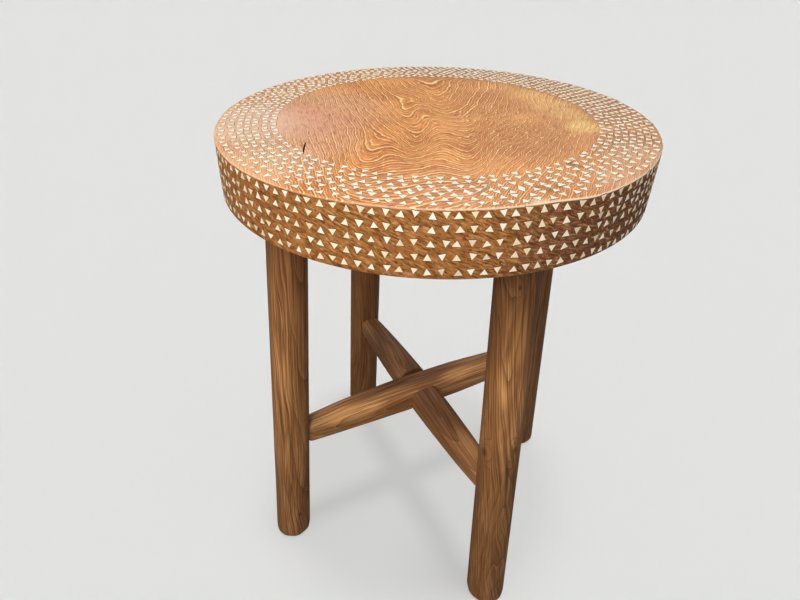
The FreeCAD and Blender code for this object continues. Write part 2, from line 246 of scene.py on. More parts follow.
def slab_profile(angle):
    """Points of the slab's section at an angle, from the middle of its top to that of its base."""
    inset = rim_inset(angle)
    height = SLAB_TOP - SLAB_BASE
    points = [(share * (SLAB_RADIUS - inset - SLAB_ARRIS), SLAB_TOP) for share in TOP_SHARES]
    wear = noise.noise(Vector((math.cos(angle) * WEAR_WAVES, math.sin(angle) * WEAR_WAVES, 4)))
    worn = SLAB_ARRIS * (0.8 + 0.5 * wear)
    for step in range(1, ARRIS_STEPS + 1):
        turn = math.pi / 2 * step / ARRIS_STEPS
        points.append((
            SLAB_RADIUS - inset - SLAB_ARRIS + SLAB_ARRIS * math.sin(turn),
            SLAB_TOP - worn + worn * math.cos(turn),
        ))
    for step in range(1, SIDE_STEPS + 1):
        share = step / SIDE_STEPS
        level = SLAB_TOP - worn - share * (height - worn - SLAB_ARRIS)
        points.append((SLAB_RADIUS - inset * (1 - share) ** DRAWN_IN_FADE, level))
    for step in range(1, ARRIS_STEPS + 1):
        turn = math.pi / 2 * step / ARRIS_STEPS
        points.append((
            SLAB_RADIUS - SLAB_ARRIS + SLAB_ARRIS * math.cos(turn),
            SLAB_BASE + SLAB_ARRIS - SLAB_ARRIS * math.sin(turn),
        ))
    points += [(share * SLAB_RADIUS, SLAB_BASE) for share in BASE_SHARES]
    return points


def finish_mesh(name, work):
    """The plain mesh that worked points and faces become."""
    mesh = bpy.data.meshes.new(name)
    work.to_mesh(mesh)
    work.free()
    return mesh


work = bmesh.new()
columns = []
for number in range(SLAB_SEGMENTS):
    angle = math.tau * number / SLAB_SEGMENTS
    columns.append([
        work.verts.new((radius * math.cos(angle), radius * math.sin(angle), level))
        for radius, level in slab_profile(angle)
    ])
top_middle = work.verts.new((0, 0, SLAB_TOP))
base_middle = work.verts.new((0, 0, SLAB_BASE))
for here, onward in zip(columns, columns[1:] + columns[:1]):
    work.faces.new((top_middle, here[0], onward[0]))
    work.faces.new((base_middle, onward[-1], here[-1]))
    for upper in range(len(here) - 1):
        work.faces.new((here[upper], here[upper + 1], onward[upper + 1], onward[upper]))
for face in work.faces:
    face.smooth = True
slab = place_in_scene("dressed_slab", finish_mesh("slab", work))

# A drying check runs in from the innermost shell ring at the left
CHECK_MIDDLE = Vector((-0.1552, -0.0288, SLAB_TOP))
CHECK_HEADING = math.radians(66)
CHECK_LENGTH = 37 * MILLIMETRE
CHECK_WIDTH = 3.2 * MILLIMETRE
CHECK_DEPTH = 6 * MILLIMETRE
CHECK_BOW = 1.4 * MILLIMETRE
CHECK_BOTTOM_SHARE = 0.3
CHECK_POINTS = 12
work = bmesh.new()
outline = []
for number in range(CHECK_POINTS):
    turn = math.tau * number / CHECK_POINTS
    bow = CHECK_BOW * math.sin(turn) ** 2
    gape = CHECK_WIDTH / 2 * math.sin(turn) * abs(math.sin(turn))
    outline.append((CHECK_LENGTH / 2 * math.cos(turn), gape + bow))
upper = [work.verts.new((x, y, CHECK_DEPTH)) for x, y in outline]
lower = [work.verts.new((x, y * CHECK_BOTTOM_SHARE, -CHECK_DEPTH)) for x, y in outline]
work.faces.new(upper)
work.faces.new(lower[::-1])
for number in range(CHECK_POINTS):
    onward = (number + 1) % CHECK_POINTS
    work.faces.new((upper[onward], upper[number], lower[number], lower[onward]))
bmesh.ops.recalc_face_normals(work, faces=work.faces)
work.transform(Matrix.Translation(CHECK_MIDDLE) @ Matrix.Rotation(CHECK_HEADING, 4, "Z"))
check_mesh = finish_mesh("check_cutter", work)


def square_block(lowest, highest, placing):
    """A box mesh between two corners of its own frame, put in its place by a matrix."""
    work = bmesh.new()
    bmesh.ops.create_cube(work, size=1)
    low, high = Vector(lowest), Vector(highest)
    work.transform(placing @ Matrix.Translation((low + high) / 2) @ Matrix.Diagonal((*(high - low), 1)))
    return finish_mesh("block", work)


# Faces that meet at more than this are shaded apart, so a cut has a crisp lip
CRISP_ANGLE = math.radians(40)


def keep_result(piece):
    """Make what a piece's modifiers give its own plain mesh, and take them off."""
    bpy.context.view_layer.update()
    evaluated = piece.evaluated_get(bpy.context.evaluated_depsgraph_get())
    mesh = bpy.data.meshes.new_from_object(evaluated)
    piece.modifiers.clear()
    piece.data = mesh


def cut_away(piece, cutter_meshes):
    """Cut a mesh out of a piece for each cutter, and leave the piece one plain mesh."""
    for cutter_mesh in cutter_meshes:
        cutter = place_in_scene("cutter", cutter_mesh)
        cut = piece.modifiers.new("cut", "BOOLEAN")
        cut.operation = "DIFFERENCE"
        cut.solver = "FAST"
        cut.object = cutter
        keep_result(piece)
        bpy.data.objects.remove(cutter)
        bpy.data.meshes.remove(cutter_mesh)
    piece.data.set_sharp_from_angle(angle=CRISP_ANGLE)


# A blind square mortise in the underside for the tenon of each post
POST_TURNS = {"leg_right": 0, "leg_back": math.pi / 2, "leg_left": math.pi, "leg_front": -math.pi / 2}
POST_REACH_AT_SLAB = 171 * MILLIMETRE
POST_REACH_AT_FLOOR = 212 * MILLIMETRE
POST_LEAN = math.atan((POST_REACH_AT_FLOOR - POST_REACH_AT_SLAB) / SLAB_BASE)
POST_TENON_WIDTH = 26 * MILLIMETRE
POST_TENON_LENGTH = 34 * MILLIMETRE
TENON_END_GAP = 1 * MILLIMETRE
GLUE_GAP = 0.15 * MILLIMETRE
CUT_OVERRUN = 8 * MILLIMETRE


def post_frame(turn):
    """Frame of a post: Z up its axis from the floor, X away from the middle of the table."""
    foot = Matrix.Translation((POST_REACH_AT_FLOOR, 0, 0))
    return Matrix.Rotation(turn, 4, "Z") @ foot @ Matrix.Rotation(-POST_LEAN, 4, "Y")


post_length = SLAB_BASE / math.cos(POST_LEAN)
half_mortise = POST_TENON_WIDTH / 2 + GLUE_GAP
mortise_top = post_length + POST_TENON_LENGTH + TENON_END_GAP
mortises = [
    square_block(
        (-half_mortise, -half_mortise, post_length - CUT_OVERRUN),
        (half_mortise, half_mortise, mortise_top),
        post_frame(turn),
    )
    for turn in POST_TURNS.values()
]
cut_away(slab, [check_mesh] + mortises)

# Sanded teak under wax, its pores filled pale: warm tan ground, jagged cream lines where
# each year's ring of large pores is cut, with brown latewood beside them. The plank is
# flat-sawn through a wavy trunk, so the rings nest in V shapes and then in M shapes. Wax
# gives it a satin sheen. The view from above is laid out in millimetres along two axes:
# across, to the right in the photograph, and away from the camera.
GRAIN_HEADING = math.radians(30.85)
SLAB_LIGHT_GROUND = "#F19D52"
SLAB_DARK_GROUND = "#CE7B38"
SLAB_BROWN = "#B4601C"
SLAB_PALE_LINE = "#FFDC9A"
SLAB_LATEWOOD = "#8C4616"
# Pink of the wood at the left, partly a painted sheen
SLAB_PINK_AND_SHEEN = "#DCA58A"
SLAB_SAPWOOD = "#FFD47E"
# Pale of wear, and of painted glare and sheen
SLAB_PALE_WEAR_AND_GLARE = "#F5DCC0"
SLAB_STAIN = "#5A3624"
SLAB_STAINED = "#EFEDF2"
SLAB_STAINED_MOST = "#DABF7C"
# Painted shade inside the drying check
CHECK_PAINTED_SHADE = "#24140C"
# The whole figure wanders, curls tighter round one place at the right, and is jagged by the
# saw. Each noise has the size in mm of its waves
FIGURE_WANDER = 6
FIGURE_WANDER_SIZE = 33.333
CURL_MIDDLE = (88, -20, 0)
CURL_REACH = 105
CURL_FULL_WITHIN = 35
CURL_OUTSIDE = 1.6
CURL_FULL = 10
CURL_SIZE = 10.526
JAG = 3
JAG_SIZE = 3.7037
PORE_SIZE = 2
CLOUD_SIZE = 55.556
# Rings as a height field in mm: a valley with a leaning middle line, and its swells, each
# with its across, away, half width, half length and rise. The valley's numbers and the
# swells weren't chosen by hand: a least-squares fit made them, from traced year lines
VALLEY_ACROSS = -12.4
VALLEY_LEAN = 0.0565
VALLEY_BOTTOM = 2.0
VALLEY_FLARE = 0.0443
VALLEY_POWER = 1.757
FIGURE_SWELLS = (
    (-24.4, 72, 20.2, 33, 46.3), (-12.5, 23.8, 14.3, 31.1, 53.8), (-61.6, -131.7, 22.3, 74.2, -60),
    (37.6, -107.3, 20.2, 90, -60), (-27.4, -1.1, 20.2, 63.9, -39.2), (20.1, 0.3, 27.4, 38, -25),
    (3.7, -10.8, 8.7, 19.5, 25.2), (71.5, 162, 89.8, 30.1, 30.5), (-6.6, 58.3, 45.2, 59, -60),
    (119.1, 104.2, 31, 56.3, 60), (77.6, -1.6, 50.8, 90, -60), (-15.1, -77.5, 15.1, 44.6, -51.5),
)
RING_SPACING = 21
FIRST_RING_AT = 3.4
CLOSE_RINGS_ABOVE = 76
CLOSE_RING_SPACING = 42
# The rings lean, so the field falls by this much for each mm up through the slab
RINGS_LEAN_OUT = 1.7
SMALL_LINES_TO_A_RING = 3
# How far the fibres' noise goes in a ring, and in a mm across and a mm away
FIBRE_STEPS = (18, 0.16, 0.12)
FIBRE_SCALE = 0.6
SLAB_RELIEF = 0.3 * MILLIMETRE
# Hardly any lines show in the pink patch at the left, under its painted sheen
PINK_SHEEN_MIDDLE = (-150, -20, 0)
UNLINED_WITHIN = 30
LINED_BEYOND = 85
# Mastic has stained the ground outside these radii
STAINED_FROM = 162
STAINED_FULL = 176
# It has stained most at the right and the back, where a mm away counts as this much across
STAINED_AWAY = 0.6
STAINED_MOST_FROM = -60
STAINED_MOST_FULL = 170
# Painted shade in the drying check starts and is full at these depths, within these radii
CHECK_SHADE_FROM = 0.1 * MILLIMETRE
CHECK_SHADE_FULL = 0.5 * MILLIMETRE
CHECK_FULL_WITHIN = 195
CHECK_NOT_BEYOND = 205
# Patches of other colour: across, away, radius, edge and strength
# Pink patches: partly the wood's tone, partly a painted sheen
PINK_AND_SHEEN_PATCHES = (
    (-142, 10, 45, 75, 0.8), (-120, -90, 25, 55, 0.7), (-190, -60, 50, 60, 0.5),
    (0, -205, 20, 90, 0.35),
)
SAPWOOD_PATCHES = (
    (158, -18, 12, 14, 1), (150, 24, 10, 18, 0.5), (135, 60, 12, 26, 0.5), (112, 98, 8, 26, 0.45),
)
# Pale patches: some wear, painted glare at the right rim and painted sheen at the left
WORN_AND_GLARE_PATCHES = (
    (88, -206, 2, 11, 0.65), (165, -150, 8, 34, 0.22), (195, -95, 12, 40, 0.22),
    (-200, -40, 30, 60, 0.4), (-150, -150, 20, 55, 0.25),
)
BROWN_PATCHES = (
    (88, -60, 30, 50, 0.75), (30, 225, 50, 50, 0.8), (205, 60, 40, 40, 0.8), (60, 60, 20, 50, 0.4),
    (150, 160, 30, 40, 0.7), (190, -60, 20, 40, 0.5),
)
STAIN_PATCHES = (
    (126, -121, 2, 6, 0.75), (133, -128, 1, 5, 0.6), (97, -181, 1, 6, 0.7), (107, -172, 1, 5, 0.6),
    (90, -176, 1, 5, 0.5),
)

slab_wood = new_material("waxed_flat_sawn_teak")
tree = slab_wood.node_tree
object_place = add_node(tree, "ShaderNodeTexCoord").outputs["Object"]
place = add_node(tree, "ShaderNodeMapping", {
    "Vector": object_place,
    "Location": (0, 0, -SLAB_TOP / MILLIMETRE),
    "Rotation": (0, 0, GRAIN_HEADING),
    "Scale": (1 / MILLIMETRE,) * 3,
})

# Slow wander of the whole figure, a tighter curl on the right, and the saw's fine jags
wander = add_node(tree, "ShaderNodeTexNoise", {
    "Vector": place, "Scale": 1 / FIGURE_WANDER_SIZE, "Detail": 1,
})
wandered = add_node(tree, "ShaderNodeVectorMath", [
    wander.outputs["Color"], (FIGURE_WANDER,) * 3, place,
], operation="MULTIPLY_ADD")
from_curl = add_node(tree, "ShaderNodeVectorMath", [place, CURL_MIDDLE], operation="DISTANCE")
curl_here = add_node(tree, "ShaderNodeMapRange", {
    "Value": from_curl.outputs["Value"], "From Min": CURL_REACH, "From Max": CURL_FULL_WITHIN,
    "To Min": CURL_OUTSIDE, "To Max": CURL_FULL,
}, interpolation_type="SMOOTHSTEP")
curl = add_node(tree, "ShaderNodeTexNoise", {"Vector": place, "Scale": 1 / CURL_SIZE, "Detail": 1.5})
curl_by = add_node(tree, "ShaderNodeVectorMath", [
    curl.outputs["Color"], (0.5, 0.5, 0.5),
], operation="SUBTRACT")
curled = add_node(tree, "ShaderNodeVectorMath", {
    0: curl_by, "Scale": curl_here.outputs[0],
}, operation="SCALE")
figure_place = add_node(tree, "ShaderNodeVectorMath", [wandered, curled], operation="ADD")
jags = add_node(tree, "ShaderNodeTexNoise", {"Vector": place, "Scale": 1 / JAG_SIZE, "Detail": 1.5})
figure_place = add_node(tree, "ShaderNodeVectorMath", [
    jags.outputs["Color"], (JAG, JAG, 0), figure_place,
], operation="MULTIPLY_ADD")
half_wander = ((FIGURE_WANDER + JAG) / 2, (FIGURE_WANDER + JAG) / 2, FIGURE_WANDER / 2)
figure_place = add_node(tree, "ShaderNodeVectorMath", [figure_place, half_wander], operation="SUBTRACT")
axes = add_node(tree, "ShaderNodeSeparateXYZ", [figure_place])
across, away, level = axes.outputs

# The height field, whose contours are the year rings
lean = add_node(tree, "ShaderNodeMath", [away, -VALLEY_LEAN, across], operation="MULTIPLY_ADD")
centred = add_node(tree, "ShaderNodeMath", [lean, VALLEY_ACROSS], operation="SUBTRACT")
spread = add_node(tree, "ShaderNodeMath", [centred, centred], operation="MULTIPLY")
spread = add_node(tree, "ShaderNodeMath", [spread, VALLEY_BOTTOM ** 2], operation="ADD")
flare = add_node(tree, "ShaderNodeMath", [spread, VALLEY_POWER / 2], operation="POWER")
valley = add_node(tree, "ShaderNodeMath", [flare, -VALLEY_FLARE, away], operation="MULTIPLY_ADD")
rings = add_node(tree, "ShaderNodeMath", [level, -RINGS_LEAN_OUT, valley], operation="MULTIPLY_ADD")
for swell_across, swell_away, half_width, half_length, rise in FIGURE_SWELLS:
    aside = add_node(tree, "ShaderNodeMath", [across, swell_across], operation="SUBTRACT")
    aside = add_node(tree, "ShaderNodeMath", [aside, half_width], operation="DIVIDE")
    along = add_node(tree, "ShaderNodeMath", [away, swell_away], operation="SUBTRACT")
    along = add_node(tree, "ShaderNodeMath", [along, half_length], operation="DIVIDE")
    square = add_node(tree, "ShaderNodeMath", [aside, aside], operation="MULTIPLY")
    square = add_node(tree, "ShaderNodeMath", [along, along, square], operation="MULTIPLY_ADD")
    falloff = add_node(tree, "ShaderNodeMath", [math.e ** -1, square], operation="POWER")
    rings = add_node(tree, "ShaderNodeMath", [falloff, -rise, rings], operation="MULTIPLY_ADD")

# Rings lie closer together high in the V
above = add_node(tree, "ShaderNodeMath", [rings, CLOSE_RINGS_ABOVE], operation="SUBTRACT")
above = add_node(tree, "ShaderNodeMath", [above, 0], operation="MAXIMUM")
phase = add_node(tree, "ShaderNodeMath", [rings, FIRST_RING_AT], operation="SUBTRACT")
phase = add_node(tree, "ShaderNodeMath", [phase, RING_SPACING], operation="DIVIDE")
phase = add_node(tree, "ShaderNodeMath", [above, 1 / CLOSE_RING_SPACING, phase], operation="MULTIPLY_ADD")

# Fibres follow the rings, and pores lie all over
fibre_place = add_node(tree, "ShaderNodeCombineXYZ", [phase, across, away])
fibre_place = add_node(tree, "ShaderNodeVectorMath", [fibre_place, FIBRE_STEPS], operation="MULTIPLY")
fibres = add_node(tree, "ShaderNodeTexNoise", {
    "Vector": fibre_place, "Scale": FIBRE_SCALE, "Detail": 2.5, "Roughness": 0.6,
})
pores = add_node(tree, "ShaderNodeTexNoise", {"Vector": place, "Scale": 1 / PORE_SIZE, "Detail": 1.5})


def line_where_rings_meet(tree, phase, start, full):
    """How far a place is through its ring, and a line where one ring ends and the next begins.

    The line starts and is full at these distances from a ring's middle, in ring widths.
    """
    saw = add_node(tree, "ShaderNodeMath", [phase], operation="FRACT")
    from_middle = add_node(tree, "ShaderNodeMath", [saw, 0.5], operation="SUBTRACT")
    from_middle = add_node(tree, "ShaderNodeMath", [from_middle], operation="ABSOLUTE")
    return saw, add_node(tree, "ShaderNodeMapRange", {
        "Value": from_middle, "From Min": start, "From Max": full,
    }, interpolation_type="SMOOTHSTEP")


saw, ring_line = line_where_rings_meet(tree, phase, 0.42, 0.465)
which_ring = add_node(tree, "ShaderNodeMath", [phase, 0.5], operation="ADD")
which_ring = add_node(tree, "ShaderNodeMath", [which_ring], operation="FLOOR")
ring_strength = add_node(tree, "ShaderNodeTexWhiteNoise", {"W": which_ring}, noise_dimensions="1D")
ring_strength = add_node(tree, "ShaderNodeMapRange", {
    "Value": ring_strength, "To Min": 0.55, "To Max": 1.15,
})
broken = add_node(tree, "ShaderNodeMapRange", {
    "Value": pores, "From Min": 0.3, "From Max": 0.5, "To Min": 0.3, "To Max": 1,
})
line = add_node(tree, "ShaderNodeMath", [ring_line, ring_strength], operation="MULTIPLY")
line = add_node(tree, "ShaderNodeMath", [line, broken], operation="MULTIPLY")
# Lines fade under the pink patch's painted sheen
from_pink_sheen = add_node(tree, "ShaderNodeVectorMath", [place, PINK_SHEEN_MIDDLE], operation="DISTANCE")
lined = add_node(tree, "ShaderNodeMapRange", {
    "Value": from_pink_sheen.outputs["Value"], "From Min": UNLINED_WITHIN, "From Max": LINED_BEYOND,
    "To Min": 0.15, "To Max": 1,
}, interpolation_type="SMOOTHSTEP")
line = add_node(tree, "ShaderNodeMath", [line, lined], operation="MULTIPLY")

small_phase = add_node(tree, "ShaderNodeMath", [phase, SMALL_LINES_TO_A_RING], operation="MULTIPLY")
small_saw, small_line = line_where_rings_meet(tree, small_phase, 0.34, 0.44)
streak = add_node(tree, "ShaderNodeMapRange", {
    "Value": fibres, "From Min": 0.4, "From Max": 0.55, "To Min": 0.15,
})
small_line = add_node(tree, "ShaderNodeMath", [small_line, streak], operation="MULTIPLY")
small_line = add_node(tree, "ShaderNodeMath", [small_line, lined], operation="MULTIPLY")

cloud = add_node(tree, "ShaderNodeTexNoise", {"Vector": figure_place, "Scale": 1 / CLOUD_SIZE, "Detail": 2})
ground_mix = add_node(tree, "ShaderNodeMapRange", {"Value": cloud, "From Min": 0.35, "From Max": 0.6})


def mix_colour(tree, amount, below, above, blend="MIX"):
    """Lay one colour over another by an amount from 0 to 1."""
    mixer = tree.nodes.new("ShaderNodeMix")
    mixer.data_type = "RGBA"
    mixer.blend_type = blend
    for socket, value in ((mixer.inputs[0], amount), (mixer.inputs[6], below), (mixer.inputs[7], above)):
        if isinstance(value, bpy.types.Node):
            value = value.outputs[0]
        if isinstance(value, bpy.types.NodeSocket):
            tree.links.new(value, socket)
        else:
            socket.default_value = value
    return mixer.outputs[2]


def lay_where(tree, colour, value, start, full, most, tint):
    """Lay a tint over a colour: none where a value is at the start, the most where it is full."""
    here = add_node(tree, "ShaderNodeMapRange", {
        "Value": value, "From Min": start, "From Max": full, "To Max": most,
    })
    return mix_colour(tree, here, colour, linear(tint))


def lay_patches(tree, place, colour, patches, tint, blend="MIX"):
    """Lay round patches of a tint, soft at the edge, over a colour. A middle may be flat, at 0."""
    for *middle, radius, edge, strength in patches:
        distance = add_node(tree, "ShaderNodeVectorMath", [place, (*middle, 0)[:3]], operation="DISTANCE")
        here = add_node(tree, "ShaderNodeMapRange", {
            "Value": distance.outputs["Value"], "From Min": radius + edge, "From Max": radius,
            "To Max": strength,
        }, interpolation_type="SMOOTHSTEP")
        colour = mix_colour(tree, here, colour, linear(tint), blend)
    return colour


colour = mix_colour(tree, ground_mix, linear(SLAB_DARK_GROUND), linear(SLAB_LIGHT_GROUND))
colour = lay_patches(tree, figure_place, colour, BROWN_PATCHES, SLAB_BROWN)
colour = lay_patches(tree, figure_place, colour, PINK_AND_SHEEN_PATCHES, SLAB_PINK_AND_SHEEN)
colour = lay_patches(tree, figure_place, colour, SAPWOOD_PATCHES, SLAB_SAPWOOD)
from_axis = add_node(tree, "ShaderNodeVectorMath", [place, (1, 1, 0)], operation="MULTIPLY")
from_axis = add_node(tree, "ShaderNodeVectorMath", [from_axis], operation="LENGTH").outputs["Value"]
among_chips = add_node(tree, "ShaderNodeMapRange", {
    "Value": from_axis, "From Min": STAINED_FROM, "From Max": STAINED_FULL,
}, interpolation_type="SMOOTHSTEP")
right_and_back = add_node(tree, "ShaderNodeMath", [away, STAINED_AWAY, across], operation="MULTIPLY_ADD")
right_and_back = add_node(tree, "ShaderNodeMapRange", {
    "Value": right_and_back, "From Min": STAINED_MOST_FROM, "From Max": STAINED_MOST_FULL,
}, interpolation_type="SMOOTHSTEP")
stained = mix_colour(tree, right_and_back, linear(SLAB_STAINED), linear(SLAB_STAINED_MOST))
colour = mix_colour(tree, among_chips, colour, stained, "MULTIPLY")
late = add_node(tree, "ShaderNodeMath", [saw, 5], operation="POWER")
small_late = add_node(tree, "ShaderNodeMath", [small_saw, 3], operation="POWER")
late = add_node(tree, "ShaderNodeMath", [small_late, 0.6, late], operation="MULTIPLY_ADD", use_clamp=True)
late = add_node(tree, "ShaderNodeMath", [late, 0.8], operation="MULTIPLY")
late = add_node(tree, "ShaderNodeMath", [late, lined], operation="MULTIPLY")
colour = mix_colour(tree, late, colour, linear(SLAB_LATEWOOD))
colour = lay_where(tree, colour, fibres, 0.5, 0.36, 0.75, SLAB_LATEWOOD)
small_amount = add_node(tree, "ShaderNodeMath", [small_line, 0.8], operation="MULTIPLY")
colour = mix_colour(tree, small_amount, colour, linear(SLAB_PALE_LINE))
colour = mix_colour(tree, line, colour, linear(SLAB_PALE_LINE))
# Wear, painted glare and painted sheen, all pale
colour = lay_patches(tree, figure_place, colour, WORN_AND_GLARE_PATCHES, SLAB_PALE_WEAR_AND_GLARE)
colour = lay_patches(tree, figure_place, colour, STAIN_PATCHES, SLAB_STAIN)

# The edge drinks more wax: golden brown at the left, reddish and darker at the right, with
# fine grain that runs round it and climbs to the right. The arris is pale, partly worn and
# partly a painted highlight that grows towards the right
EDGE_GOLDEN = "#9E6A39"
EDGE_REDDISH = "#7A523A"
EDGE_DARK = "#53301A"
EDGE_PALE = "#CF9C66"
EDGE_STARTS = 0.5 * MILLIMETRE
EDGE_FULL = 2 * MILLIMETRE
BASE_EDGE_STARTS = 0.2 * MILLIMETRE
BASE_EDGE_FULL = 1.5 * MILLIMETRE
EDGE_GRAIN_CLIMB = 0.42
EDGE_GRAIN_STEPS = (0.2, 0.2, 0.75)
EDGE_GRAIN_SCALE = 0.75
EDGE_CLOUD_SIZE = 33.333
REDDISH_FROM = 60
REDDISH_FULL = 150
REDDISH_WANDER = 60
# Where the arris is painted pale, and where its painted highlight grows towards the right
ARRIS_MIDDLE = 0.9 * MILLIMETRE
ARRIS_PALE_WITHIN = 0.3 * MILLIMETRE
ARRIS_PALE_TO = 1 * MILLIMETRE
ARRIS_GLINT_MORE_FROM = -60
ARRIS_GLINT_MOST_FROM = 130
object_axes = add_node(tree, "ShaderNodeSeparateXYZ", [object_place])
below_top = add_node(tree, "ShaderNodeMath", [SLAB_TOP, object_axes.outputs["Z"]], operation="SUBTRACT")
on_edge = add_node(tree, "ShaderNodeMapRange", {
    "Value": below_top, "From Min": EDGE_STARTS, "From Max": EDGE_FULL,
}, interpolation_type="SMOOTHSTEP")
not_base = add_node(tree, "ShaderNodeMapRange", {
    "Value": object_axes.outputs["Z"],
    "From Min": SLAB_BASE + BASE_EDGE_STARTS, "From Max": SLAB_BASE + BASE_EDGE_FULL,
})
on_edge = add_node(tree, "ShaderNodeMath", [on_edge, not_base], operation="MULTIPLY")
climbing = add_node(tree, "ShaderNodeMath", [across, EDGE_GRAIN_CLIMB, level], operation="MULTIPLY_ADD")
edge_place = add_node(tree, "ShaderNodeCombineXYZ", [across, away, climbing])
edge_place = add_node(tree, "ShaderNodeVectorMath", [edge_place, EDGE_GRAIN_STEPS], operation="MULTIPLY")
edge_grain = add_node(tree, "ShaderNodeTexNoise", {
    "Vector": edge_place, "Scale": EDGE_GRAIN_SCALE, "Detail": 2, "Roughness": 0.6, "Distortion": 0.8,
})
edge_cloud = add_node(tree, "ShaderNodeTexNoise", {
    "Vector": figure_place, "Scale": 1 / EDGE_CLOUD_SIZE, "Detail": 2,
})
redder = add_node(tree, "ShaderNodeMath", [edge_cloud, REDDISH_WANDER, across], operation="MULTIPLY_ADD")
redder = add_node(tree, "ShaderNodeMapRange", {
    "Value": redder, "From Min": REDDISH_FROM, "From Max": REDDISH_FULL,
}, interpolation_type="SMOOTHSTEP")
edge_colour = mix_colour(tree, redder, linear(EDGE_GOLDEN), linear(EDGE_REDDISH))
edge_colour = lay_where(tree, edge_colour, edge_grain, 0.52, 0.34, 0.85, EDGE_DARK)
edge_colour = lay_where(tree, edge_colour, edge_grain, 0.54, 0.7, 0.75, EDGE_PALE)
colour = mix_colour(tree, on_edge, colour, edge_colour)
# Painted shade below the top and inside the edge, which only the drying check lays open
check_shade = add_node(tree, "ShaderNodeMapRange", {
    "Value": from_axis, "From Min": CHECK_NOT_BEYOND, "From Max": CHECK_FULL_WITHIN,
})
check_shade = add_node(tree, "ShaderNodeMath", [check_shade, not_base], operation="MULTIPLY")
sunk = add_node(tree, "ShaderNodeMapRange", {
    "Value": below_top, "From Min": CHECK_SHADE_FROM, "From Max": CHECK_SHADE_FULL,
})
check_shade = add_node(tree, "ShaderNodeMath", [check_shade, sunk], operation="MULTIPLY")
colour = mix_colour(tree, check_shade, colour, linear(CHECK_PAINTED_SHADE))
# Pale arris: partly wear, partly a painted highlight, strongest at the right
from_arris = add_node(tree, "ShaderNodeMath", [below_top, ARRIS_MIDDLE], operation="SUBTRACT")
from_arris = add_node(tree, "ShaderNodeMath", [from_arris], operation="ABSOLUTE")
arris = add_node(tree, "ShaderNodeMapRange", {
    "Value": from_arris, "From Min": ARRIS_PALE_TO, "From Max": ARRIS_PALE_WITHIN,
})
wear_and_glint = add_node(tree, "ShaderNodeMapRange", {
    "Value": across, "From Min": ARRIS_GLINT_MORE_FROM, "From Max": ARRIS_GLINT_MOST_FROM,
    "To Min": 0.25, "To Max": 0.95,
})
arris = add_node(tree, "ShaderNodeMath", [arris, wear_and_glint], operation="MULTIPLY")
colour = mix_colour(tree, arris, colour, linear(SLAB_PALE_WEAR_AND_GLARE))

shader = add_node(tree, "ShaderNodeBsdfPrincipled", {
    "Base Color": colour, "IOR": 1.2, "Specular IOR Level": 0.3,
})
relief = add_node(tree, "ShaderNodeMath", [line, fibres], operation="ADD")
bump = add_node(tree, "ShaderNodeBump", {"Height": relief, "Strength": 0.35, "Distance": SLAB_RELIEF})
tree.links.new(bump.outputs[0], shader.inputs["Normal"])
gloss = add_node(tree, "ShaderNodeMapRange", {
    "Value": fibres, "From Min": 0.3, "From Max": 0.7, "To Min": 0.42, "To Max": 0.55,
})
tree.links.new(gloss.outputs[0], shader.inputs["Roughness"])
add_node(tree, "ShaderNodeOutputMaterial", [shader])

slab.data.materials.clear()
slab.data.materials.append(slab_wood)
lit_by_fill.objects.link(slab)
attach(slab, "root")
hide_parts("top_slab")


# Posts
# Four poles of teak, drawn down by hand so that soft flats run along them, and thicker at
# the foot. The head bears on the slab with a square tenon, and the foot is eased round.

POST_HEAD_RADIUS = 22.9 * MILLIMETRE
POST_FOOT_RADIUS = 25.6 * MILLIMETRE
POST_FOOT_ROUND = 6 * MILLIMETRE
POST_SIDES = 64
POST_STATIONS = 70
FOOT_STEPS = 6
SOFT_FLAT_COUNT = 7
SOFT_FLAT_DEPTH = 0.026
POST_WAVE = 0.012
BAR_MIDDLE_HEIGHTS = {"stretcher_upper": 200 * MILLIMETRE, "stretcher_lower": 198.5 * MILLIMETRE}
BAR_TENON_WIDTH = 12 * MILLIMETRE
BAR_TENON_DEPTH = 18 * MILLIMETRE
BAR_TENON_LENGTH = 20 * MILLIMETRE
BAR_MORTISE_OVERRUN = 6 * MILLIMETRE


def post_radius(turn, angle, height):
    """Radius of a post at an angle round its axis and a height above the floor."""
    share = height / SLAB_BASE
    radius = POST_FOOT_RADIUS + (POST_HEAD_RADIUS - POST_FOOT_RADIUS) * share
    around = Vector((math.cos(angle), math.sin(angle), 0))
    flats = noise.noise(around * 0.8 + Vector((turn * 5, 0, height * 3)))
    shaved = 0.5 - 0.5 * math.cos(SOFT_FLAT_COUNT * angle + 2.5 * flats + turn)
    wave = noise.noise(around * 1.1 + Vector((0, turn * 7, height * 11)))
    radius *= 1 - SOFT_FLAT_DEPTH * shaved - POST_WAVE * (0.5 + 0.5 * wave)
    if height < POST_FOOT_ROUND:
        rise = 1 - height / POST_FOOT_ROUND
        radius -= POST_FOOT_ROUND * (1 - math.sqrt(1 - rise * rise))
    return radius


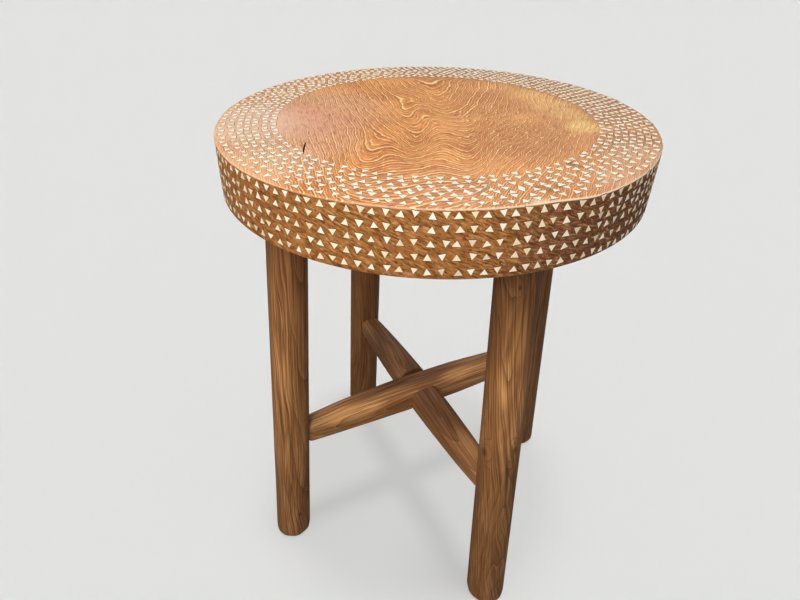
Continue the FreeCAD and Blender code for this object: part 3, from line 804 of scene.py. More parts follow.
def build_post(name, turn):
    """One post as a closed mesh: foot, shaft, shoulder and square tenon."""
    work = bmesh.new()
    quarter = math.pi / 2
    levels = [POST_FOOT_ROUND * (1 - math.cos(quarter * step / FOOT_STEPS)) for step in range(FOOT_STEPS)]
    shaft = SLAB_BASE - POST_FOOT_ROUND
    levels += [POST_FOOT_ROUND + shaft * step / POST_STATIONS for step in range(POST_STATIONS + 1)]
    angles = [math.tau * number / POST_SIDES for number in range(POST_SIDES)]
    rounds = []
    for height in levels:
        axis = POST_REACH_AT_FLOOR - height * math.tan(POST_LEAN)
        radii = [post_radius(turn, a, height) for a in angles]
        rounds.append([
            (axis + radius * math.cos(a), radius * math.sin(a), height)
            for radius, a in zip(radii, angles)
        ])
    upright = post_frame(0)
    for height in (post_length, post_length + POST_TENON_LENGTH):
        square = []
        for a in angles:
            out = POST_TENON_WIDTH / 2 / max(abs(math.cos(a)), abs(math.sin(a)))
            square.append(upright @ Vector((out * math.cos(a), out * math.sin(a), height)))
        if height == post_length:
            square = [Vector((p.x, p.y, SLAB_BASE)) for p in square]
        rounds.append(square)
    rings = [[work.verts.new(point) for point in ring] for ring in rounds]
    for below, above in zip(rings, rings[1:]):
        for number in range(POST_SIDES):
            onward = (number + 1) % POST_SIDES
            face = work.faces.new((below[number], below[onward], above[onward], above[number]))
            face.smooth = above is not rings[-1]
    work.faces.new(rings[0][::-1])
    work.faces.new(rings[-1])
    work.transform(Matrix.Rotation(turn, 4, "Z"))
    return place_in_scene(name, finish_mesh(name, work))


# Teak under wax, cleft along the grain: brown ground, a dark and a pale line for each year,
# fine long pores, golden flames where the year rings graze the surface, partly painted
# highlight, and painted shade at the head under the slab and in patches where it lies in
# shadow. Round a knot the lines part
TEAK_DARK = "#744D2E"
TEAK_MIDDLE = "#AD7848"
TEAK_LIGHT = "#D8A36C"
# Gold of the flames, partly a painted highlight
TEAK_GOLD_AND_HIGHLIGHT = "#F2B673"
TEAK_KNOT = "#3E2514"
# A painted shade, multiplied over the wood
TEAK_PAINTED_SHADE = "#A69C98"
YEAR_WIDTH = 5
# A mm of the wood's length counts as this much for what is drawn out along it
PATCH_SQUEEZE = 0.25
WANDER_SQUEEZE = 0.18
TONE_SQUEEZE = 0.12
FIBRE_SQUEEZE = 0.012
TRUNK_WANDER = 16
TRUNK_WANDER_SIZE = 28.571
TRUNK_TAPER = 0.015
TONE_SIZE = 11.111
# The fibres' noise is read on a round of this radius, at these scales
FIBRE_ROUND = 23
LONG_FIBRE_SCALE = 0.6
LONG_PORE_SCALE = 1.4
LONG_GRAIN_RELIEF = 0.4 * MILLIMETRE
# How far out and how much the rings part round a knot, and how large its dark core is,
# for a knot of size 1
KNOT_REACH = 2.6
KNOT_PUSH = 2.4
KNOT_CORE = 0.7
KNOT_CORE_FULL = 0.2


def long_grain_teak(name, placing, pith, drift, twist, tone, knots, golden_and_lit, painted_shading):
    """Waxed teak whose fibres run along Z of a frame, with its pith at Z = 0 and its drift.

    The fibres wind round by the twist, in radians to a mm. The knots are x, y, z and size,
    and the patches x, y, z, radius, edge and strength, in mm.
    """
    wood = new_material(name)
    tree = wood.node_tree
    place = add_node(tree, "ShaderNodeMapping", {
        "Vector": add_node(tree, "ShaderNodeTexCoord").outputs["Object"],
        "Location": placing.to_translation(),
        "Rotation": placing.to_euler(),
        "Scale": (MILLIMETRE,) * 3,
    }, vector_type="TEXTURE")
    stretched = add_node(tree, "ShaderNodeVectorMath", [
        place, (1, 1, WANDER_SQUEEZE),
    ], operation="MULTIPLY")
    wander = add_node(tree, "ShaderNodeTexNoise", {
        "Vector": stretched, "Scale": 1 / TRUNK_WANDER_SIZE, "Detail": 1,
    })
    warped = add_node(tree, "ShaderNodeVectorMath", [
        wander.outputs["Color"], (TRUNK_WANDER, TRUNK_WANDER, 0), place,
    ], operation="MULTIPLY_ADD")
    height = add_node(tree, "ShaderNodeSeparateXYZ", [place]).outputs["Z"]
    leaned = add_node(tree, "ShaderNodeVectorMath", [
        height, (-drift[0], -drift[1], 0), warped,
    ], operation="MULTIPLY_ADD")
    flattened = add_node(tree, "ShaderNodeVectorMath", [leaned, (1, 1, 0)], operation="MULTIPLY")
    distance = add_node(tree, "ShaderNodeVectorMath", [flattened, (*pith, 0)], operation="DISTANCE")
    distance = add_node(tree, "ShaderNodeMath", [
        height, TRUNK_TAPER, distance.outputs["Value"],
    ], operation="MULTIPLY_ADD")
    knot_dark = None
    for x, y, z, size in knots:
        near = add_node(tree, "ShaderNodeVectorMath", [place, (x, y, z)], operation="SUBTRACT")
        near = add_node(tree, "ShaderNodeVectorMath", [near, (1, 1, 0.5)], operation="MULTIPLY")
        near = add_node(tree, "ShaderNodeVectorMath", [near], operation="LENGTH").outputs["Value"]
        push = add_node(tree, "ShaderNodeMapRange", {
            "Value": near, "From Min": size * KNOT_REACH, "From Max": 0, "To Max": size * KNOT_PUSH,
        }, interpolation_type="SMOOTHSTEP")
        distance = add_node(tree, "ShaderNodeMath", [distance, push], operation="ADD")
        core = add_node(tree, "ShaderNodeMapRange", {
            "Value": near, "From Min": size * KNOT_CORE, "From Max": size * KNOT_CORE_FULL, "To Max": 0.7,
        })
        knot_dark = add_node(tree, "ShaderNodeMath", [core, knot_dark or 0], operation="MAXIMUM")
    phase = add_node(tree, "ShaderNodeMath", [distance, YEAR_WIDTH], operation="DIVIDE")
    saw = add_node(tree, "ShaderNodeMath", [phase], operation="FRACT")

    # Long unbroken fibres, which don't run out at the surface
    winding = add_node(tree, "ShaderNodeMath", [height, twist, wander.outputs[0]], operation="MULTIPLY_ADD")
    wound = add_node(tree, "ShaderNodeVectorRotate", {
        "Vector": place, "Angle": winding,
    }, rotation_type="Z_AXIS")
    round_place = add_node(tree, "ShaderNodeVectorMath", [wound, (1, 1, 0)], operation="MULTIPLY")
    round_place = add_node(tree, "ShaderNodeVectorMath", [round_place], operation="NORMALIZE")
    up_place = add_node(tree, "ShaderNodeVectorMath", [place, (0, 0, FIBRE_SQUEEZE)], operation="MULTIPLY")
    fibre_place = add_node(tree, "ShaderNodeVectorMath", [
        round_place, (FIBRE_ROUND,) * 3, up_place,
    ], operation="MULTIPLY_ADD")
    fibres = add_node(tree, "ShaderNodeTexNoise", {
        "Vector": fibre_place, "Scale": LONG_FIBRE_SCALE, "Detail": 2, "Roughness": 0.65,
    })
    pores = add_node(tree, "ShaderNodeTexNoise", {
        "Vector": fibre_place, "Scale": LONG_PORE_SCALE, "Detail": 0.5,
    })
    tone_place = add_node(tree, "ShaderNodeVectorMath", [
        leaned, (1, 1, TONE_SQUEEZE),
    ], operation="MULTIPLY")
    tones = add_node(tree, "ShaderNodeTexNoise", {
        "Vector": tone_place, "Scale": 1 / TONE_SIZE, "Detail": 2,
    })

    light = add_node(tree, "ShaderNodeMapRange", {
        "Value": tones, "From Min": 0.66 - tone, "From Max": 0.92 - tone,
    })
    colour = mix_colour(tree, light, linear(TEAK_MIDDLE), linear(TEAK_LIGHT))
    squeezed = add_node(tree, "ShaderNodeVectorMath", [place, (1, 1, PATCH_SQUEEZE)], operation="MULTIPLY")
    gold_and_highlight_patches, painted_shade_patches = (
        [(x, y, z * PATCH_SQUEEZE, *rest) for x, y, z, *rest in patches] for patches in (golden_and_lit, painted_shading)
    )
    # Golden flames, partly painted highlight
    colour = lay_patches(tree, squeezed, colour, gold_and_highlight_patches, TEAK_GOLD_AND_HIGHLIGHT)
    late = add_node(tree, "ShaderNodeMath", [saw, 5], operation="POWER")
    late = add_node(tree, "ShaderNodeMath", [late, 0.8], operation="MULTIPLY")
    colour = mix_colour(tree, late, colour, linear(TEAK_DARK))
    early = add_node(tree, "ShaderNodeMapRange", {
        "Value": saw, "From Min": 0.16, "From Max": 0.02, "To Max": 0.6,
    })
    broken = add_node(tree, "ShaderNodeMapRange", {
        "Value": pores, "From Min": 0.4, "From Max": 0.6, "To Min": 0.15, "To Max": 1,
    })
    early = add_node(tree, "ShaderNodeMath", [early, broken], operation="MULTIPLY")
    colour = mix_colour(tree, early, colour, linear(TEAK_LIGHT))
    colour = lay_where(tree, colour, fibres, 0.52, 0.36, 0.75, TEAK_DARK)
    colour = lay_where(tree, colour, fibres, 0.54, 0.72, 0.65, TEAK_LIGHT)
    colour = lay_where(tree, colour, pores, 0.4, 0.3, 0.65, TEAK_KNOT)
    if knot_dark:
        colour = mix_colour(tree, knot_dark, colour, linear(TEAK_KNOT))
    # Patches of painted shade: heads under the slab, some feet, and wood that lies in shadow
    colour = lay_patches(tree, squeezed, colour, painted_shade_patches, TEAK_PAINTED_SHADE, "MULTIPLY")
    shader = add_node(tree, "ShaderNodeBsdfPrincipled", {
        "Base Color": colour, "IOR": 1.5, "Specular IOR Level": 0.4,
    })
    gloss = add_node(tree, "ShaderNodeMapRange", {
        "Value": fibres, "From Min": 0.3, "From Max": 0.7, "To Min": 0.52, "To Max": 0.4,
    })
    tree.links.new(gloss.outputs[0], shader.inputs["Roughness"])
    relief = add_node(tree, "ShaderNodeMath", [fibres, early], operation="SUBTRACT")
    bump = add_node(tree, "ShaderNodeBump", {
        "Height": relief, "Strength": 0.45, "Distance": LONG_GRAIN_RELIEF,
    })
    tree.links.new(bump.outputs[0], shader.inputs["Normal"])
    add_node(tree, "ShaderNodeOutputMaterial", [shader])
    return wood


# Each post's pith, drift, twist and how golden it is, then its knots, its golden patches,
# partly painted highlight, and its patches of painted shade
POST_WOODS = {
    "leg_left": (
        (30, -16), (0.01, -0.03), 0.001, 0.14,
        [(-2, 25, 52, 4)],
        [(14, 19, 300, 5, 14, 0.3)],
        [(0, 0, 545, 26, 18, 0.6), (-22, 12, 250, 6, 16, 0.6), (0, 0, 60, 26, 14, 0.3)],
    ),
    "leg_front": (
        (-52, -14), (0.07, 0.13), 0.0045, 0.14,
        [(3, -24, 279, 6), (24, 3, 288, 6), (-4, -23, 498, 2.5), (20, -12, 499, 2.5)],
        [(17, -15, 385, 3, 9, 0.75), (22, -6, 440, 3, 9, 0.7), (21, 4, 350, 3, 10, 0.5)],
        [(0, 0, 545, 30, 18, 0.7), (0, 0, 110, 40, 16, 0.45), (-8, -24, 400, 4, 14, 0.5)],
    ),
    "leg_right": (
        (20, 30), (0.03, 0.02), -0.001, 0.04,
        [],
        [],
        [(0, 0, 545, 28, 18, 0.8), (0, 0, 250, 60, 30, 0.4)],
    ),
    "leg_back": (
        (-18, -34), (-0.02, 0.03), 0.001, 0.02,
        [],
        [],
        [(0, 0, 545, 28, 18, 0.9), (0, 0, 250, 60, 30, 0.45)],
    ),
}
BAR_AT_POST = {
    "leg_right": "stretcher_upper", "leg_left": "stretcher_upper",
    "leg_back": "stretcher_lower", "leg_front": "stretcher_lower",
}

for leg, turn in POST_TURNS.items():
    post = build_post(leg.replace("leg", "post"), turn)
    middle = BAR_MIDDLE_HEIGHTS[BAR_AT_POST[leg]]
    surface = POST_REACH_AT_FLOOR - middle * math.tan(POST_LEAN) - POST_FOOT_RADIUS
    half_width = BAR_TENON_WIDTH / 2 + GLUE_GAP
    half_depth = BAR_TENON_DEPTH / 2 + GLUE_GAP
    bar_mortise = square_block(
        (surface - BAR_MORTISE_OVERRUN, -half_width, middle - half_depth),
        (surface + BAR_TENON_LENGTH + TENON_END_GAP, half_width, middle + half_depth),
        Matrix.Rotation(turn, 4, "Z"),
    )
    cut_away(post, [bar_mortise])
    post.data.materials.append(long_grain_teak(f"waxed_teak_{leg}", post_frame(turn), *POST_WOODS[leg]))
    throws_streaks.objects.link(post)
    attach(post, "root")
    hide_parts(leg)


# Stretchers
# Two bars of teak, planed to eight sides and whittled thinner towards the posts, with a
# flat tenon at each end. They are notched over each other at half their depth.

BAR_DEPTHS = {"stretcher_upper": 47 * MILLIMETRE, "stretcher_lower": 44 * MILLIMETRE}
BAR_MIDDLE_WIDTH = 42 * MILLIMETRE
BAR_MIDDLE_BEVEL = 10 * MILLIMETRE
BAR_END_DEPTH = 34 * MILLIMETRE
BAR_END_WIDTH = 29 * MILLIMETRE
BAR_END_BEVEL = 8 * MILLIMETRE
# The upper bar's left end is left nearly full below, and is bevelled deeper above
LEFT_END_DROP = 6.8 * MILLIMETRE
LEFT_END_BEVEL = 3 * MILLIMETRE
# The hand has taken up to this share off each arris
HAND_SHARE = 0.045
BAR_STATIONS = 72
ARRIS_SOFTNESS = 2.2 * MILLIMETRE
ARRIS_POINTS = 4
FLAT_MARGIN = 0.6 * MILLIMETRE
BUTT_ROUND = 2.2 * MILLIMETRE
BUTT_LENGTH = 4 * MILLIMETRE
SCRIBED_INTO_POST = 0.8 * MILLIMETRE
TENON_ROOT = 1.5 * MILLIMETRE
HALVING_LEVEL = 198.5 * MILLIMETRE
NOTCH_CLEARS = 40 * MILLIMETRE


def bar_section(name, turn, share):
    """The eight-sided section of a bar, with soft arrises, at a share of its half length."""
    depth = BAR_DEPTHS[name]
    taper = share * share
    half_width = (BAR_MIDDLE_WIDTH - (BAR_MIDDLE_WIDTH - BAR_END_WIDTH) * taper) / 2
    end_bevel = BAR_MIDDLE_BEVEL - (BAR_MIDDLE_BEVEL - BAR_END_BEVEL) * taper
    left_end = taper if share < 0 and name == "stretcher_upper" else 0
    corners = []
    for across, up in ((1, 1), (-1, 1), (-1, -1), (1, -1)):
        half_depth = (depth - (depth - BAR_END_DEPTH) * taper) / 2
        half_depth += LEFT_END_DROP * left_end * max(-up, 0)
        bevel = end_bevel + LEFT_END_BEVEL * left_end * max(up, 0)
        pair = [
            Vector((across * half_width, up * (half_depth - bevel))),
            Vector((across * (half_width - bevel), up * half_depth)),
        ]
        corners += pair if across * up > 0 else pair[::-1]
    for number, corner in enumerate(corners):
        hand = 0.5 + 0.5 * noise.noise(Vector((share * 4, number * 3.1, turn)))
        corners[number] = corner * (1 - HAND_SHARE * hand)
    points = []
    for number, corner in enumerate(corners):
        back = (corners[number - 1] - corner).normalized()
        onward = (corners[(number + 1) % 8] - corner).normalized()
        before = corner + back * ARRIS_SOFTNESS
        after = corner + onward * ARRIS_SOFTNESS
        points.append(before + back * FLAT_MARGIN)
        for step in range(ARRIS_POINTS):
            t = step / (ARRIS_POINTS - 1)
            points.append(before.lerp(corner, t).lerp(corner.lerp(after, t), t))
        points.append(after + onward * FLAT_MARGIN)
    return points


def build_bar(name, turn, ends):
    """One stretcher as a closed mesh: shaped bar, scribed shoulders and flat tenons."""
    work = bmesh.new()
    middle = BAR_MIDDLE_HEIGHTS[name]
    reach = POST_REACH_AT_FLOOR - middle * math.tan(POST_LEAN) - POST_FOOT_RADIUS
    shares = [-1 + 2 * step / BAR_STATIONS for step in range(BAR_STATIONS + 1)]
    rounds = []
    for share in shares:
        round_in = smooth_step((abs(share) * reach - (reach - BUTT_LENGTH)) / BUTT_LENGTH)
        ring = []
        for across, up in bar_section(name, turn, share):
            shrink = 1 - BUTT_ROUND * round_in / max(math.hypot(across, up), BUTT_ROUND)
            across, up = across * shrink, up * shrink
            height = middle + up
            end_turn = ends[1] if share > 0 else ends[0]
            sideways = across if share > 0 else -across
            axis = POST_REACH_AT_FLOOR - height * math.tan(POST_LEAN)
            radius = post_radius(end_turn, math.pi, height)
            scribed = axis - math.sqrt(max(radius * radius - sideways * sideways, 0)) + SCRIBED_INTO_POST
            ring.append((share * scribed, across, height))
        rounds.append(ring)
    for direction in (1, -1):
        for length in (0, BAR_TENON_LENGTH):
            ring = []
            for across, up in bar_section(name, turn, 1):
                scale = 1 / max(abs(across) / (BAR_TENON_WIDTH / 2), abs(up) / (BAR_TENON_DEPTH / 2))
                along = reach + (length or TENON_ROOT)
                ring.append((direction * along, across * scale, middle + up * scale))
            rounds = rounds + [ring] if direction > 0 else [ring] + rounds
    rings = [[work.verts.new(point) for point in ring] for ring in rounds]
    for here, onward in zip(rings, rings[1:]):
        sides = len(here)
        for number in range(sides):
            beside = (number + 1) % sides
            face = work.faces.new((here[number], onward[number], onward[beside], here[beside]))
            face.smooth = here is not rings[0] and onward is not rings[-1]
    work.faces.new(rings[0])
    work.faces.new(rings[-1][::-1])
    bmesh.ops.recalc_face_normals(work, faces=work.faces)
    work.transform(Matrix.Rotation(turn, 4, "Z"))
    return place_in_scene(name, finish_mesh(name, work))


# Each bar's turn, the turns of the posts at its two ends, and its wood as for the posts
BARS = {
    "stretcher_upper": (0, (math.pi, 0), (
        (8, -30), (0.02, 0.04), 0.002, 0.2,
        [(-2, -19, -75, 2)],
        [
            (-13, -17, -110, 7, 8, 1), (-12, 0, -150, 5, 10, 0.8), (-20, -13, 60, 4, 7, 1),
            (-18, -14, 110, 3, 8, 0.7),
        ],
        [(-26, 6, 0, 10, 14, 0.75), (-24, 6, -60, 6, 10, 0.5), (12, -18, 40, 6, 14, 0.5)],
    )),
    "stretcher_lower": (math.pi / 2, (-math.pi / 2, math.pi / 2), (
        (-22, 20), (0.03, -0.03), -0.002, 0.1,
        [],
        [(-17, -2, -128, 3, 9, 0.7), (-16, 8, 80, 2, 8, 0.4)],
        [
            (-20, 0, -40, 14, 16, 0.75), (-20, 0, 90, 14, 14, 0.6), (0, 20, -80, 10, 16, 0.4),
            (0, 20, 90, 10, 16, 0.5),
        ],
    )),
}
for name, (turn, ends, wood) in BARS.items():
    bar = build_bar(name, turn, ends)
    half_notch = BAR_MIDDLE_WIDTH / 2 + GLUE_GAP
    notch_low, notch_high = (HALVING_LEVEL - NOTCH_CLEARS, HALVING_LEVEL)
    if name == "stretcher_lower":
        notch_low, notch_high = (HALVING_LEVEL, HALVING_LEVEL + NOTCH_CLEARS)
    turned = Matrix.Rotation(turn, 4, "Z")
    low_corner = (-half_notch, -NOTCH_CLEARS, notch_low)
    high_corner = (half_notch, NOTCH_CLEARS, notch_high)
    cut_away(bar, [square_block(low_corner, high_corner, turned)])
    raised = Matrix.Translation((0, 0, BAR_MIDDLE_HEIGHTS[name]))
    lying = turned @ raised @ Matrix.Rotation(math.pi / 2, 4, "Y")
    bar.name = name.replace("stretcher", "crossbar")
    bar.data.materials.append(long_grain_teak(f"waxed_teak_{name}", lying, *wood))
    throws_streaks.objects.link(bar)
    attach(bar, "root")
    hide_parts(name)


# Shell inlay
# Small triangles snapped and filed from river shell, set one by one into dark mastic in
# rings on the top and rows round the edge, pointing one way and the other by turns.

CHIP_TOP_SHARE = 0.93
CHIP_BURIED = 0.2 * MILLIMETRE
MASTIC_STAND = 0.1 * MILLIMETRE
MASTIC_MARGIN = 0.55 * MILLIMETRE
# The hand misses a chip's place along the ring by up to this share of the spacing and tilts
# it by up to this slope, and files it between these sizes: tall, wide and thick
MISS_SHARE = 0.13
OFF_TRUE = 0.16
SMALLEST_CHIP = (0.9, 0.88, 1)
LARGEST_CHIP = (1.1, 1.12, 1)
# A corner is snapped off by up to half of this, with so many waves to a metre
CORNER_SNAP = 1.2 * MILLIMETRE
CORNER_SNAP_WAVES = 210
DRIFT_WAVES = 2.2
WIDEST_SPACING_AT = math.radians(-108)
# Chips are laid onto the slab from this far outside it, and reach it within this
LAID_FROM = 10 * MILLIMETRE
LAID_WITHIN = 100 * MILLIMETRE
# A triangle whose corners are 1 from its centre is this tall and wide, and its half height
# lies this share of its radius behind that centre
TRIANGLE_HEIGHT = 1.5
TRIANGLE_WIDTH = math.sqrt(3)
TRIANGLE_MIDDLE = 0.25

# Radius in mm of the outermost and the innermost ring, at shares of a turn from +X, and
# where the far side has an eighth ring and the right of the edge a sixth row, from 0 to 1
OUTERMOST_RING = (
    (0, 224.2), (0.35, 224.2), (0.42, 223.8), (0.47, 222.6), (0.55, 221.2), (0.61, 218), (0.66, 215.6),
    (0.7, 215.2), (0.73, 216.6), (0.785, 217.4), (0.82, 222.4), (0.86, 223.6), (0.92, 224.2),
    (1, 224.2),
)
INNERMOST_RING = (
    (0, 176.2), (0.33, 175.8), (0.39, 173), (0.45, 170.2), (0.55, 167.6), (0.61, 166), (0.67, 165.2),
    (0.74, 165.8), (0.78, 167.6), (0.83, 171.4), (0.89, 174.6), (0.94, 175.6), (1, 176.2),
)
EIGHTH_RING_HERE = ((0, 1), (0.38, 1), (0.45, 0), (0.825, 0), (0.87, 1), (1, 1))
SIXTH_ROW_HERE = ((0, 1), (0.3, 1), (0.38, 0), (0.74, 0), (0.795, 1), (1, 1))
# What the two kinds of curve can hold
RING_LIMITS = (150, 240)
CROWDED_LIMITS = (-0.5, 1.5)


def round_curve(tree, turn, points, low, high):
    """A value that follows points round the slab and stays between low and high."""
    node = add_node(tree, "ShaderNodeFloatCurve", {"Value": turn})
    curve = node.mapping.curves[0]
    for share, value in points[1:-1]:
        curve.points.new(share, (value - low) / (high - low))
    curve.points[0].location = (0, (points[0][1] - low) / (high - low))
    curve.points[-1].location = (1, (points[-1][1] - low) / (high - low))
    for point in curve.points:
        point.handle_type = "AUTO_CLAMPED"
    node.mapping.update()
    return add_node(tree, "ShaderNodeMapRange", {"Value": node, "To Min": low, "To Max": high}).outputs[0]


def chip_tree(shell, mastic):
    """Geometry Nodes tree that sets one ring or row of chips on the slab."""
    tree = bpy.data.node_groups.new("set_chips", "GeometryNodeTree")
    for name, kind in (
        ("Slab", "NodeSocketObject"), ("Count", "NodeSocketInt"), ("Radius", "NodeSocketFloat"),
        ("Level", "NodeSocketFloat"), ("On Edge", "NodeSocketBool"), ("Chip Width", "NodeSocketFloat"),
        ("Chip Height", "NodeSocketFloat"), ("Stand", "NodeSocketFloat"), ("Slip", "NodeSocketFloat"),
        ("Seed", "NodeSocketInt"), ("Share", "NodeSocketFloat"), ("Share Crowded", "NodeSocketFloat"),
        ("Level Crowded", "NodeSocketFloat"), ("Drift", "NodeSocketFloat"), ("Bunching", "NodeSocketFloat"),
        ("Only Crowded", "NodeSocketBool"),
    ):
        tree.interface.new_socket(name, in_out="INPUT", socket_type=kind)
    tree.interface.new_socket("Geometry", in_out="OUTPUT", socket_type="NodeSocketGeometry")
    given = add_node(tree, "NodeGroupInput").outputs

    # Where each chip would stand on an even ring, and how far the hand missed it
    index = add_node(tree, "GeometryNodeInputIndex")
    miss = add_node(tree, "FunctionNodeRandomValue", {
        0: (-1, -1, -1), 1: (1, 1, 1), 8: given["Seed"],
    }, data_type="FLOAT_VECTOR")
    miss = add_node(tree, "ShaderNodeSeparateXYZ", [miss])
    along = add_node(tree, "ShaderNodeMath", [
        miss.outputs["X"], MISS_SHARE, index,
    ], operation="MULTIPLY_ADD")
    along = add_node(tree, "ShaderNodeMath", [along, math.tau], operation="MULTIPLY")
    angle = add_node(tree, "ShaderNodeMath", [along, given["Count"]], operation="DIVIDE")
    # The top's chips are spaced wider along the front and closer at the back
    from_front = add_node(tree, "ShaderNodeMath", [angle, WIDEST_SPACING_AT], operation="SUBTRACT")
    from_front = add_node(tree, "ShaderNodeMath", [from_front], operation="SINE")
    angle = add_node(tree, "ShaderNodeMath", [
        from_front, given["Bunching"], angle,
    ], operation="MULTIPLY_ADD")
    cosine = add_node(tree, "ShaderNodeMath", [angle], operation="COSINE")
    sine = add_node(tree, "ShaderNodeMath", [angle], operation="SINE")
    outward = add_node(tree, "ShaderNodeCombineXYZ", [cosine, sine, 0])
    backward = add_node(tree, "ShaderNodeMath", [sine, -1], operation="MULTIPLY")
    sideways = add_node(tree, "ShaderNodeCombineXYZ", [backward, cosine, 0])
    slip = add_node(tree, "ShaderNodeMath", [miss.outputs["Y"], given["Slip"]], operation="MULTIPLY")
    drift = add_node(tree, "ShaderNodeTexNoise", {
        "Vector": outward, "W": given["Seed"], "Scale": DRIFT_WAVES, "Detail": 1,
    }, noise_dimensions="4D")
    drift = add_node(tree, "ShaderNodeMath", [drift.outputs[0], 0.5], operation="SUBTRACT")
    slip = add_node(tree, "ShaderNodeMath", [drift, given["Drift"], slip], operation="MULTIPLY_ADD")
    # The rings follow the rim, and they and the rows close up where there is one more
    turn = add_node(tree, "ShaderNodeMath", [angle, math.tau], operation="DIVIDE")
    turn = add_node(tree, "ShaderNodeMath", [turn, 1], operation="FLOORED_MODULO")
    outer = round_curve(tree, turn, OUTERMOST_RING, *RING_LIMITS)
    inner = round_curve(tree, turn, INNERMOST_RING, *RING_LIMITS)
    crowded_top = round_curve(tree, turn, EIGHTH_RING_HERE, *CROWDED_LIMITS)
    crowded_edge = round_curve(tree, turn, SIXTH_ROW_HERE, *CROWDED_LIMITS)
    crowded = add_node(tree, "GeometryNodeSwitch", [
        given["On Edge"], crowded_top, crowded_edge,
    ], input_type="FLOAT")
    share = add_node(tree, "ShaderNodeMapRange", {
        "Value": crowded, "To Min": given["Share"], "To Max": given["Share Crowded"],
    })
    band = add_node(tree, "ShaderNodeMapRange", {"Value": share, "To Min": outer, "To Max": inner})
    band = add_node(tree, "ShaderNodeMath", [band, MILLIMETRE], operation="MULTIPLY")
    top_radius = add_node(tree, "ShaderNodeMath", [band, slip], operation="ADD")
    radius = add_node(tree, "GeometryNodeSwitch", [
        given["On Edge"], top_radius, given["Radius"],
    ], input_type="FLOAT")
    edge_level = add_node(tree, "ShaderNodeMapRange", {
        "Value": crowded, "To Min": given["Level"], "To Max": given["Level Crowded"],
    })
    edge_level = add_node(tree, "ShaderNodeMath", [edge_level, slip], operation="ADD")
    level = add_node(tree, "GeometryNodeSwitch", [
        given["On Edge"], given["Level"], edge_level,
    ], input_type="FLOAT")
    flat = add_node(tree, "ShaderNodeVectorMath", {
        0: outward, "Scale": radius.outputs[0],
    }, operation="SCALE")
    raised = add_node(tree, "ShaderNodeCombineXYZ", [0, 0, level])
    start = add_node(tree, "ShaderNodeVectorMath", [flat, raised], operation="ADD")
    points = add_node(tree, "GeometryNodePoints", {"Count": given["Count"], "Position": start.outputs[0]})

    # Each chip is laid on the slab: down onto the top, or in from outside onto the edge
    inward = add_node(tree, "ShaderNodeVectorMath", {0: outward, "Scale": -1}, operation="SCALE")
    direction = add_node(tree, "GeometryNodeSwitch", [
        given["On Edge"], (0, 0, -1), inward,
    ], input_type="VECTOR")
    slab_shape = add_node(tree, "GeometryNodeObjectInfo", [given["Slab"]]).outputs["Geometry"]
    ray = add_node(tree, "GeometryNodeRaycast", {
        "Target Geometry": slab_shape, "Ray Direction": direction.outputs[0], "Ray Length": LAID_WITHIN,
    })
    faced = add_node(tree, "GeometryNodeStoreNamedAttribute", {
        "Geometry": points, "Name": "outward", "Value": ray.outputs["Hit Normal"],
    }, data_type="FLOAT_VECTOR")
    laid = add_node(tree, "GeometryNodeSetPosition", {
        "Geometry": faced, "Position": ray.outputs["Hit Position"],
    })
    chance = add_node(tree, "FunctionNodeRandomValue", {8: given["Seed"]})
    tinted = add_node(tree, "GeometryNodeStoreNamedAttribute", {
        "Geometry": laid, "Name": "tint", "Value": chance.outputs[1],
    })

    # One points out and the next in, or up and down, each a little off true
    pair = add_node(tree, "ShaderNodeMath", [index, 2], operation="MODULO")
    way = add_node(tree, "ShaderNodeMath", [pair, -2, 1], operation="MULTIPLY_ADD")
    tip = add_node(tree, "GeometryNodeSwitch", [given["On Edge"], outward, (0, 0, 1)], input_type="VECTOR")
    tip = add_node(tree, "ShaderNodeVectorMath", {0: tip.outputs[0], "Scale": way}, operation="SCALE")
    off_true = add_node(tree, "ShaderNodeMath", [miss.outputs["Z"], OFF_TRUE], operation="MULTIPLY")
    off_true = add_node(tree, "ShaderNodeVectorMath", {0: sideways, "Scale": off_true}, operation="SCALE")
    tip = add_node(tree, "ShaderNodeVectorMath", [tip, off_true], operation="ADD")
    facing = add_node(tree, "GeometryNodeInputNamedAttribute", ["outward"], data_type="FLOAT_VECTOR")
    turned = add_node(tree, "FunctionNodeAxesToRotation", [
        facing, tip,
    ], primary_axis="Z", secondary_axis="X")
    in_crowd = add_node(tree, "FunctionNodeCompare", [crowded, 0.5])
    all_round = add_node(tree, "FunctionNodeBooleanMath", [given["Only Crowded"]], operation="NOT")
    wanted = add_node(tree, "FunctionNodeBooleanMath", [in_crowd, all_round], operation="OR")
    uneven = add_node(tree, "FunctionNodeRandomValue", {
        0: SMALLEST_CHIP, 1: LARGEST_CHIP, 7: index, 8: given["Count"],
    }, data_type="FLOAT_VECTOR")

